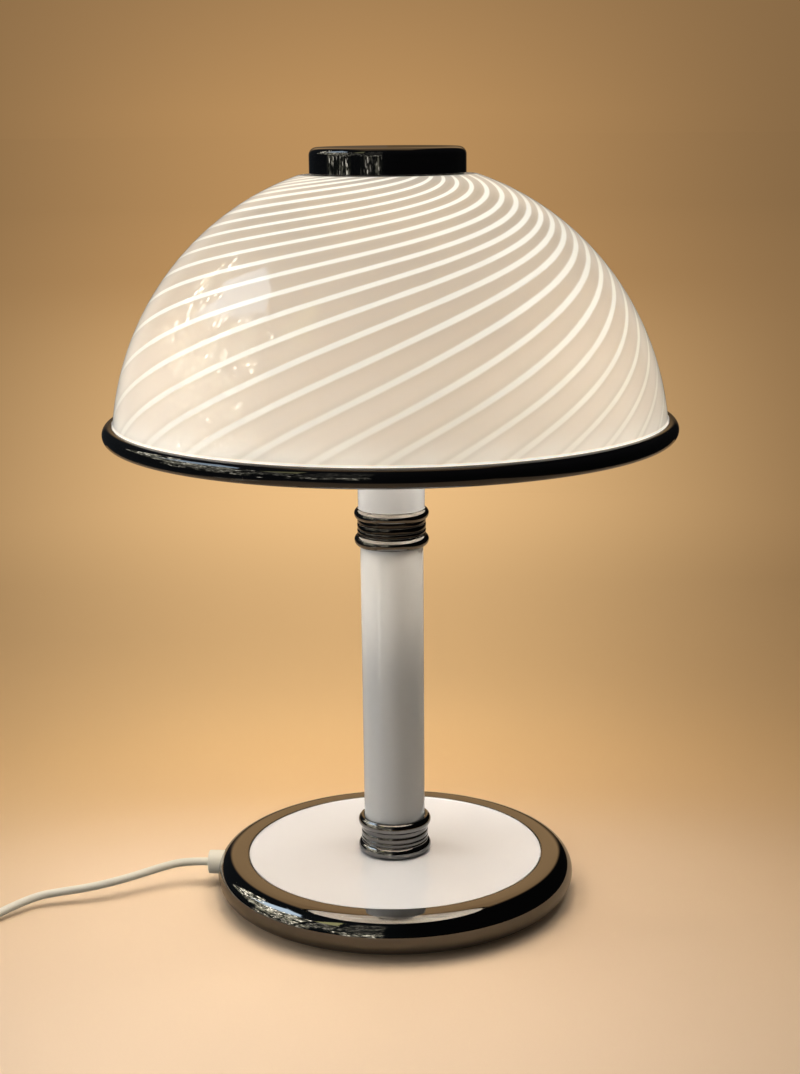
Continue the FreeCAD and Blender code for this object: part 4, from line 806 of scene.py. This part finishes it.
def make_rim(materials):
    """A rolled ring: round outside, its inner lip gripping the glass from within."""
    low, high = heights("rim_ring")
    middle = reach("rim_ring") - RIM_SECTION
    level = low + RIM_SECTION
    edge = heights("glass_shade")[0]
    groove_out = middle - RIM_SHIFT
    groove_in = groove_out - GLASS_WALL - RIM_GROOVE_GAP
    floor = edge - RIM_GROOVE_FLOOR
    inner = groove_in - RIM_LIP
    head = edge + RIM_LIP_RISE
    outline = []
    start, stop = math.acos(-RIM_SHIFT / RIM_SECTION), -math.pi / 2
    for number in range(RIM_STEPS + 1):
        angle = start + (stop - start) * number / RIM_STEPS
        outline.append((middle + RIM_SECTION * math.cos(angle), level + RIM_SECTION * math.sin(angle)))
    outline += rounded([(middle, low), (inner, low, RIM_LIP), (inner, head, RIM_LIP_EDGE),
                        (groove_in, head, RIM_LIP_EDGE), (groove_in, floor), (groove_out, floor),
                        (groove_out, high)])[1:-1]
    mesh = turned_mesh("rim_skin", outline, WIDE_SEGMENTS)
    finish_mesh("rim_roll", mesh, "shade", "black_lacquer", ["rim_ring"], materials)


def make_cap(materials):
    """The shell of the cap, open below."""
    low, high = heights("cap_shell")
    radius = reach("cap_shell")
    inner = radius - CAP_WALL
    roof = high - CAP_WALL
    outline = rounded([(0.0, high), (radius, high, CAP_BEND), (radius, low, CAP_EDGE),
                       (inner, low, CAP_EDGE), (inner, roof, CAP_INNER_BEND), (0.0, roof)],
                      degrees_per_step=6.0)
    mesh = turned_mesh("cap_skin", outline)
    finish_mesh("top_cap", mesh, "cap", "black_lacquer", ["cap_shell"], materials)


def collar_side(low, height):
    """The outside of a collar from foot to top: two beads with three fine grooves between them."""
    rise = COLLAR_BEAD - COLLAR_BODY
    bend = (rise ** 2 + COLLAR_BEAD_HALF ** 2) / (2 * rise)
    half = math.asin(COLLAR_BEAD_HALF / bend)
    band_foot = COLLAR_BEAD_INSET + COLLAR_BEAD_HALF
    band = height - 2 * band_foot

    def bead(middle):
        angles = [half * (step / COLLAR_BEAD_STEPS - 1) for step in range(2 * COLLAR_BEAD_STEPS + 1)]
        return [(COLLAR_BEAD - bend + bend * math.cos(angle), low + middle + bend * math.sin(angle))
                for angle in angles]

    points = bead(COLLAR_BEAD_INSET)
    for share in COLLAR_GROOVE_PLACES:
        groove = low + band_foot + band * share
        points += [(COLLAR_BODY - depth, groove + step) for depth, step in COLLAR_GROOVE]
    return points + bead(height - COLLAR_BEAD_INSET)


def make_collars(materials):
    """The two collars: cups that the lower tube stands in, the upper one with a spigot for the sleeve."""
    stem = reach("stem_tube") + SLIP_GAP
    rod = reach("tie_rod") + ROD_GAP
    low, high = heights("lower_collar")
    height = high - low
    outline = [(rod, low), (COLLAR_BODY - COLLAR_FOOT_EDGE, low), (COLLAR_BODY, low + COLLAR_EDGE)]
    outline += collar_side(low, height)
    outline += [(COLLAR_BODY - COLLAR_EDGE, high), (stem, high), (stem, low + COLLAR_WEB),
                (rod, low + COLLAR_WEB)]
    mesh = turned_mesh("collar_low_skin", outline)
    finish_mesh("collar_low", mesh, "lamp", "dark_nickel", ["lower_collar"], materials)
    low, top = heights("upper_collar")
    high = low + height
    spigot = reach("upper_sleeve") - SLEEVE_WALL - SLIP_GAP
    outline = [(stem, low), (COLLAR_BODY - COLLAR_EDGE, low)]
    outline += collar_side(low, height)
    outline += [(COLLAR_BODY - COLLAR_EDGE, high), (spigot, high), (spigot, top), (rod, top),
                (rod, high - COLLAR_WEB), (stem, high - COLLAR_WEB)]
    mesh = turned_mesh("collar_high_skin", outline)
    finish_mesh("collar_high", mesh, "lamp", "dark_nickel", ["upper_collar"], materials)


def make_tube(name, node, wall, materials):
    """A tube of the column, its outer edges slightly rounded."""
    low, high = heights(node)
    radius = reach(node)
    bore = radius - wall
    outline = rounded([(radius, low, TUBE_EDGE), (radius, high, TUBE_EDGE), (bore, high), (bore, low)])
    mesh = turned_mesh(name + "_skin", outline)
    finish_mesh(name, mesh, "lamp", "white_enamel", [node], materials)


def make_disc(materials):
    """The base's disc, bored for the tie rod."""
    low, high = heights("base_disc")
    radius = reach("base_disc")
    bore = reach("tie_rod") + DISC_ROD_GAP
    outline = rounded([(bore, low), (radius, low, DISC_FOOT_EDGE), (radius, high, DISC_HEAD_EDGE),
                       (bore, high)])
    mesh = turned_mesh("disc_skin", outline)
    finish_mesh("enamel_disc", mesh, "lamp", "white_enamel", ["base_disc"], materials)


def make_base_ring(materials):
    """The bullnose ring, its flat lip inside and its ledge under the disc. The gland's hole is left
    out, because the gland's saddle covers it."""
    low, high = heights("base_ring")
    radius = reach("base_ring")
    section = (high - low) / 2
    middle = radius - section
    lip = middle - RING_LIP
    foot = middle - RING_FOOT
    inner = radius - RING_WALL
    inner_bend = section - RING_WALL - RING_INNER_STEP
    ledge = reach("base_disc") - RING_LEDGE
    ledge_top = heights("base_disc")[0]
    ledge_foot = ledge_top - RING_WALL
    outline = rounded([(lip, ledge_top), (lip, high, RING_LIP_EDGE), (middle, high)])
    for number in range(1, RING_STEPS + 1):
        angle = math.pi / 2 - math.pi * number / RING_STEPS
        outline.append((middle + section * math.cos(angle), low + section + section * math.sin(angle)))
    outline += rounded([
        (foot, low, RING_FOOT_EDGE), (foot, low + RING_WALL), (middle, low + RING_WALL),
        (inner, low + RING_WALL, inner_bend), (inner, ledge_foot, inner_bend), (ledge, ledge_foot),
        (ledge, ledge_top)], degrees_per_step=5.0)
    mesh = turned_mesh("ring_skin", outline, WIDE_SEGMENTS)
    finish_mesh("bullnose_ring", mesh, "lamp", "dark_nickel", ["base_ring"], materials)


def dress_nodes(materials):
    """Gives every CAD node the material of its slot in the record."""
    for part in frame["record"]["subparts"]:
        node = frame["nodes"][part["node"]]
        node.data.materials.clear()
        node.data.materials.append(materials[part["material_slot"]])


# Studio: a pale floor that runs out into the backdrop's tan, darker to the sides
FLOOR_RADIUS = 40.0
NEAR_TONE = rgba(0.79, 0.595, 0.42)
MIDDLE_TONE = rgba(0.75, 0.465, 0.21)
# The tone of a painted pool of light on the floor beside the base
POOL_LIGHT_TONE = rgba(1.0, 0.76, 0.53)
FAR_TONE = rgba(0.50, 0.28, 0.11)
TOP_TONE = rgba(0.33, 0.19, 0.08)
GLOSS_TONE = rgba(0.42, 0.30, 0.19)
SIDE_TONE = rgba(0.24, 0.14, 0.06)
BOUNCE_TONE = rgba(0.22, 0.205, 0.185)


def sideways(tree, x, y, near_width):
    """0 behind the lamp to 1 at the picture's sides and beyond."""
    width = tree.maths("ADD", tree.maths("MULTIPLY", tree.maths("ABSOLUTE", y), 0.335), near_width)
    offset = tree.maths("ADD", tree.maths("DIVIDE", x, width), tree.remap(y, -0.3, 0.6, 0.20, 0.06))
    return tree.remap(tree.maths("ABSOLUTE", offset), 0.0, 0.8, 0.0, 1.0, smooth=True)


def add_floor():
    """Near the lamp the floor takes light and shadow, and a painted pool of light beside the base. Further
    out it shows the backdrop's own tone.
    Gloss sees it only as wide as a sheet of paper, with the room beyond its edges."""
    tree = Tree("floor_paper")
    x, y, _ = tree.separate(LAMP_AZIMUTH)
    away = tree.length(x, y)
    tone = tree.mix(tree.remap(y, -0.25, 0.30, 0.0, 1.0, smooth=True), NEAR_TONE, MIDDLE_TONE)
    tone = tree.mix(tree.remap(away, 0.9, 5.0, 0.0, 1.0, smooth=True), tone, FAR_TONE)
    # A painted pool of light on the floor beside the base
    painted_pool = tree.maths("MULTIPLY", tree.remap(away, 0.12, 0.42, 0.7, 0.0, smooth=True),
                             tree.remap(y, 0.0, 0.2, 1.0, 0.0, smooth=True))
    tone = tree.mix(painted_pool, tone, POOL_LIGHT_TONE)
    deep = tree.remap(y, -0.3, 0.8, 0.45, 1.0)
    tone = tree.mix(tree.maths("MULTIPLY", sideways(tree, x, y, 0.53), deep), tone, SIDE_TONE)
    grain = tree.remap(tree.noise(700.0, 3.0), 0.2, 0.8, 0.97, 1.0)
    tree.set(Roughness=0.8, Specular_IOR_Level=0.1)
    plain = tree.mix(grain, SIDE_TONE, tone)
    plain = tree.mix(tree.seen_by("Glossy"), plain, GLOSS_TONE)
    tree.set(Base_Color=tree.mix(tree.seen_by("Diffuse"), plain, BOUNCE_TONE))
    far = tree.maths("MULTIPLY", tree.remap(away, 0.45, 1.3, 0.0, 1.0, smooth=True),
                     tree.seen_by("Camera", "Glossy", "Transmission"))
    shown = tree.emission(tone, tree.remap(away, 1.5, 9.0, 1.15, 1.0))
    surface = tree.blend(far, tree.shader.outputs[0], shown)
    half = tree.maths("ADD", tree.maths("MULTIPLY", tree.maths("MAXIMUM", y, 0.0), 0.40), 0.33)
    beside = tree.remap(tree.maths("SUBTRACT", tree.maths("ABSOLUTE", x), half), 0.0, 0.08, 0.0, 1.0)
    before = tree.maths("SUBTRACT", 1.0, tree.band(y, -0.5, 1.2, 0.05))
    beyond = tree.maths("MULTIPLY", tree.maths("MAXIMUM", beside, before), tree.seen_by("Glossy"))
    tree.finish(tree.blend(beyond, surface, tree.nodes.new("ShaderNodeBsdfTransparent").outputs[0]))
    made = bmesh.new()
    bmesh.ops.create_circle(made, cap_ends=True, radius=FLOOR_RADIUS, segments=128)
    mesh = bpy.data.meshes.new("studio_floor")
    made.to_mesh(mesh)
    made.free()
    mesh.materials.append(tree.material)
    floor = bpy.data.objects.new("studio_floor", mesh)
    bpy.context.scene.collection.objects.link(floor)


# The room in gloss: windows as degrees to the left, sines of elevation and how clear they are
WINDOWS = ((55, 98, -0.12, 0.25, 1.0), (8, 40, -0.12, 0.25, 0.6), (64, 129, 0.25, 0.68, 1.0),
           (41, 59, 0.25, 0.68, 0.25), (9, 38, 0.25, 0.90, 0.10))
SLIT = (50.8, 52.2, -0.275, -0.235)
ARCH_MIDDLE = 53.0
ARCH_HALF = 10.0
ARCH_FOOT = 0.69
ARCH_HEAD = 0.88
SKY_LEFT = 109
SKY_HEAD = 0.795
ROOF_STEP = 0.18
ROOF_REACH = 8.0
GLOSS_BACKDROP = rgba(0.74, 0.47, 0.23)
ROOM_LEFT = rgba(0.018, 0.021, 0.024)
ROOM_RIGHT = rgba(0.006, 0.006, 0.006)
LEAF_DARK = rgba(0.04, 0.045, 0.035)
LEAF_LIGHT = rgba(2.2, 2.1, 1.55)
LEAF_GAP = rgba(14.0, 13.0, 11.0)
ARCH_TONE = rgba(2.6, 2.5, 1.2)
SKY_TONE = rgba(2.4, 3.0, 3.6)


def leaves(tree, z):
    """Leaves with bright gaps between them, and upright bars across them low down."""
    body = tree.remap(tree.noise(9.0, 6.0, 0.75), 0.46, 0.60, 0.0, 1.0, smooth=True)
    clumps = tree.remap(tree.noise(4.5, 3.0, 0.6), 0.42, 0.56, 0.15, 1.0, smooth=True)
    broad = tree.remap(tree.cells(11.0), 0.12, 0.30, 1.0, 0.0, smooth=True)
    small = tree.remap(tree.cells(21.0), 0.20, 0.34, 1.0, 0.0, smooth=True)
    gaps = tree.maths("MAXIMUM", tree.maths("MULTIPLY", broad, 0.7), small)
    tone = tree.mix(tree.maths("MULTIPLY", gaps, clumps), tree.mix(body, LEAF_DARK, LEAF_LIGHT), LEAF_GAP)
    bars = tree.remap(tree.noise(17.0, 3.0, 0.6, stretch=(1.0, 1.0, 0.1)), 0.44, 0.56, 0.0, 1.0, smooth=True)
    bars = tree.maths("MAXIMUM", bars, tree.remap(z, 0.15, 0.30, 0.0, 1.0))
    return tree.mix(bars, LEAF_DARK, tone)


def sky_patch(tree, degrees, z):
    """1 where open sky shows over the roofs, whose slopes step down to the left."""
    roofs = tree.maths("FRACT", tree.maths("DIVIDE", tree.maths("SUBTRACT", SKY_HEAD, z), ROOF_STEP))
    inward = tree.maths("SUBTRACT", degrees, tree.maths("MULTIPLY", roofs, ROOF_REACH))
    outward = tree.maths("SUBTRACT", degrees, tree.remap(z, 0.70, 0.80, 75.0, 88.0))
    foot = tree.remap(degrees, 75.0, 117.0, 0.74, 0.47)
    ragged = tree.maths("ADD", z, tree.remap(tree.noise(16.0, 5.0, 0.7), 0.3, 0.7, -0.04, 0.04))
    above = tree.maths("SUBTRACT", ragged, foot)
    sky = tree.maths("MULTIPLY", tree.remap(inward, SKY_LEFT - 0.7, SKY_LEFT + 0.7, 1.0, 0.0),
                     tree.remap(outward, -0.7, 0.7, 0.0, 1.0))
    sky = tree.maths("MULTIPLY", sky, tree.remap(above, -0.03, 0.03, 0.0, 1.0))
    return tree.maths("MULTIPLY", sky, tree.remap(z, SKY_HEAD - 0.008, SKY_HEAD + 0.008, 1.0, 0.0))


def room_in_gloss(tree, x, y, z):
    """The sheet of tan paper behind the lamp, a dark room round it, and windows on the left."""
    azimuth = tree.maths("ARCTAN2", tree.maths("MULTIPLY", x, -1.0), tree.maths("MULTIPLY", y, -1.0))
    degrees = tree.maths("DIVIDE", azimuth, math.radians(1.0))
    tone = tree.mix(tree.remap(degrees, -20.0, 30.0, 0.0, 1.0, smooth=True), ROOM_RIGHT, ROOM_LEFT)
    growth = leaves(tree, z)
    for left, right, foot, head, share in WINDOWS:
        pane = tree.maths("MULTIPLY", tree.band(degrees, left, right, 1.0), tree.band(z, foot, head, 0.012))
        tone = tree.mix(tree.maths("MULTIPLY", pane, share), tone, growth)
    left, right, foot, head = SLIT
    slit = tree.maths("MULTIPLY", tree.band(degrees, left, right, 1.0), tree.band(z, foot, head, 0.01))
    tone = tree.mix(slit, tone, LEAF_GAP)
    across = tree.maths("DIVIDE", tree.maths("SUBTRACT", degrees, ARCH_MIDDLE), ARCH_HALF)
    across = tree.maths("MULTIPLY", across, across)
    crown = tree.maths("ADD", z, tree.maths("MULTIPLY", across, ARCH_HEAD - ARCH_FOOT))
    arch = tree.maths("MULTIPLY", tree.remap(crown, ARCH_HEAD - 0.01, ARCH_HEAD, 1.0, 0.0),
                      tree.remap(z, ARCH_FOOT - 0.005, ARCH_FOOT + 0.005, 0.0, 1.0))
    tone = tree.mix(arch, tone, tree.mix(tree.noise(30.0, 4.0, 0.7), LEAF_DARK, ARCH_TONE))
    tone = tree.mix(sky_patch(tree, degrees, z), tone, SKY_TONE)
    paper = tree.maths("MULTIPLY", tree.remap(tree.maths("ABSOLUTE", x), 0.24, 0.36, 1.0, 0.0, smooth=True),
                       tree.remap(y, -0.05, 0.15, 0.0, 1.0, smooth=True))
    paper = tree.maths("MULTIPLY", paper, tree.remap(z, 0.10, 0.34, 0.15, 1.0, smooth=True))
    return tree.mix(paper, tone, GLOSS_BACKDROP)


# The studio's light: place, aim, width, height, watts, tone and spread of each softbox, in metres
WARM_WHITE = (1.0, 0.985, 0.96)
DAYLIGHT = (0.95, 0.98, 1.0)
COLUMN_MIDDLE = (0.0, 0.0, 0.22)
COLUMN_FOOT = (0.0, 0.0, 0.13)
SOFTBOXES = {
    "window_left": ((-2.0, -0.55, 1.0), COLUMN_MIDDLE, 1.4, 1.3, 7.5, DAYLIGHT, math.pi),
    "window_foot": ((-1.4, -0.45, 0.12), COLUMN_FOOT, 0.5, 0.16, 0.22, DAYLIGHT, math.radians(26.0)),
    "window_front": ((-1.15, -1.9, 1.0), COLUMN_MIDDLE, 0.7, 1.2, 3.0, DAYLIGHT, math.pi),
    "ceiling": ((0.0, 0.2, 2.4), COLUMN_MIDDLE, 2.4, 2.4, 50.0, WARM_WHITE, math.pi),
}
AMBIENT = 0.14
BULB_WATTS = 0.90
BULB_LIGHT_RADIUS = 0.015
BULB_TONE = (1.0, 0.96, 0.90)


def add_world():
    """Soft light from all round for matt surfaces, the backdrop's tone for the camera, the room for
    gloss."""
    world = bpy.data.worlds.new("studio")
    bpy.context.scene.world = world
    tree = Tree("studio", owner=world, coordinates="Generated")
    x, y, z = tree.separate(LAMP_AZIMUTH)
    backdrop = tree.mix(tree.remap(z, 0.0, 0.09, 0.0, 1.0), FAR_TONE, TOP_TONE)
    backdrop = tree.mix(sideways(tree, x, y, 0.013), backdrop, SIDE_TONE)
    ambient = tree.nodes["Background"]
    ambient.inputs["Color"].default_value = rgba(*WARM_WHITE)
    ambient.inputs["Strength"].default_value = AMBIENT
    shown = tree.mix(tree.seen_by("Glossy"), backdrop, room_in_gloss(tree, x, y, z))
    seen = tree.seen_by("Camera", "Glossy", "Transmission")
    tree.finish(tree.blend(seen, ambient.outputs[0], tree.emission(shown)))


def aimed(place, target):
    """A matrix at place whose -Z points to target."""
    turn = (Vector(target) - Vector(place)).to_track_quat("-Z", "Y")
    return Matrix.Translation(place) @ turn.to_matrix().to_4x4()


def add_softbox(name, place, target, width, height, watts, tone, spread):
    """A rectangular light that gloss does not show."""
    data = bpy.data.lights.new(name, "AREA")
    data.shape = "RECTANGLE"
    data.size = width
    data.size_y = height
    data.energy = watts
    data.color = tone
    data.spread = spread
    light = bpy.data.objects.new(name, data)
    light.matrix_world = aimed(place, target)
    light.visible_glossy = False
    bpy.context.scene.collection.objects.link(light)


def add_bulb_light():
    """The bulbs' own light: a small lamp before and behind each bulb, riding with it."""
    for word in ("left", "right"):
        low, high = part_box("bulb_glass_" + word)
        for side in (-1, 1):
            data = bpy.data.lights.new("glow_" + word, "POINT")
            data.energy = BULB_WATTS / 2
            data.shadow_soft_size = BULB_LIGHT_RADIUS
            data.color = BULB_TONE
            light = bpy.data.objects.new("glow_" + word, data)
            light.location = (low + high) / 2 + Vector((0.0, side * (high.y - low.y), 0.0))
            light.visible_glossy = False
            bpy.context.scene.collection.objects.link(light)
            light.parent = frame["bodies"]["bulb_" + word]


add_camera()
materials = make_materials()
dress_nodes(materials)
switch_pieces = [frame["nodes"][name] for name in (
    "switch_base", "switch_cover", "switch_screws", "switch_rocker", "switch_contact_fixed",
    "switch_contact_spring")]
plug_pieces = [frame["nodes"][name] for name in ("plug_body", "plug_relief", "plug_pins")]
add_cords(materials["ivory_cord"], switch_pieces, plug_pieces)
make_glass(materials)
make_rim(materials)
make_cap(materials)
make_collars(materials)
make_tube("column_tube", "stem_tube", STEM_WALL, materials)
make_tube("column_sleeve", "upper_sleeve", SLEEVE_WALL, materials)
make_disc(materials)
make_base_ring(materials)
add_floor()
add_world()
for name, softbox in SOFTBOXES.items():
    add_softbox(name, *softbox)
add_bulb_light()
bpy.context.scene.view_settings.view_transform = "Standard"
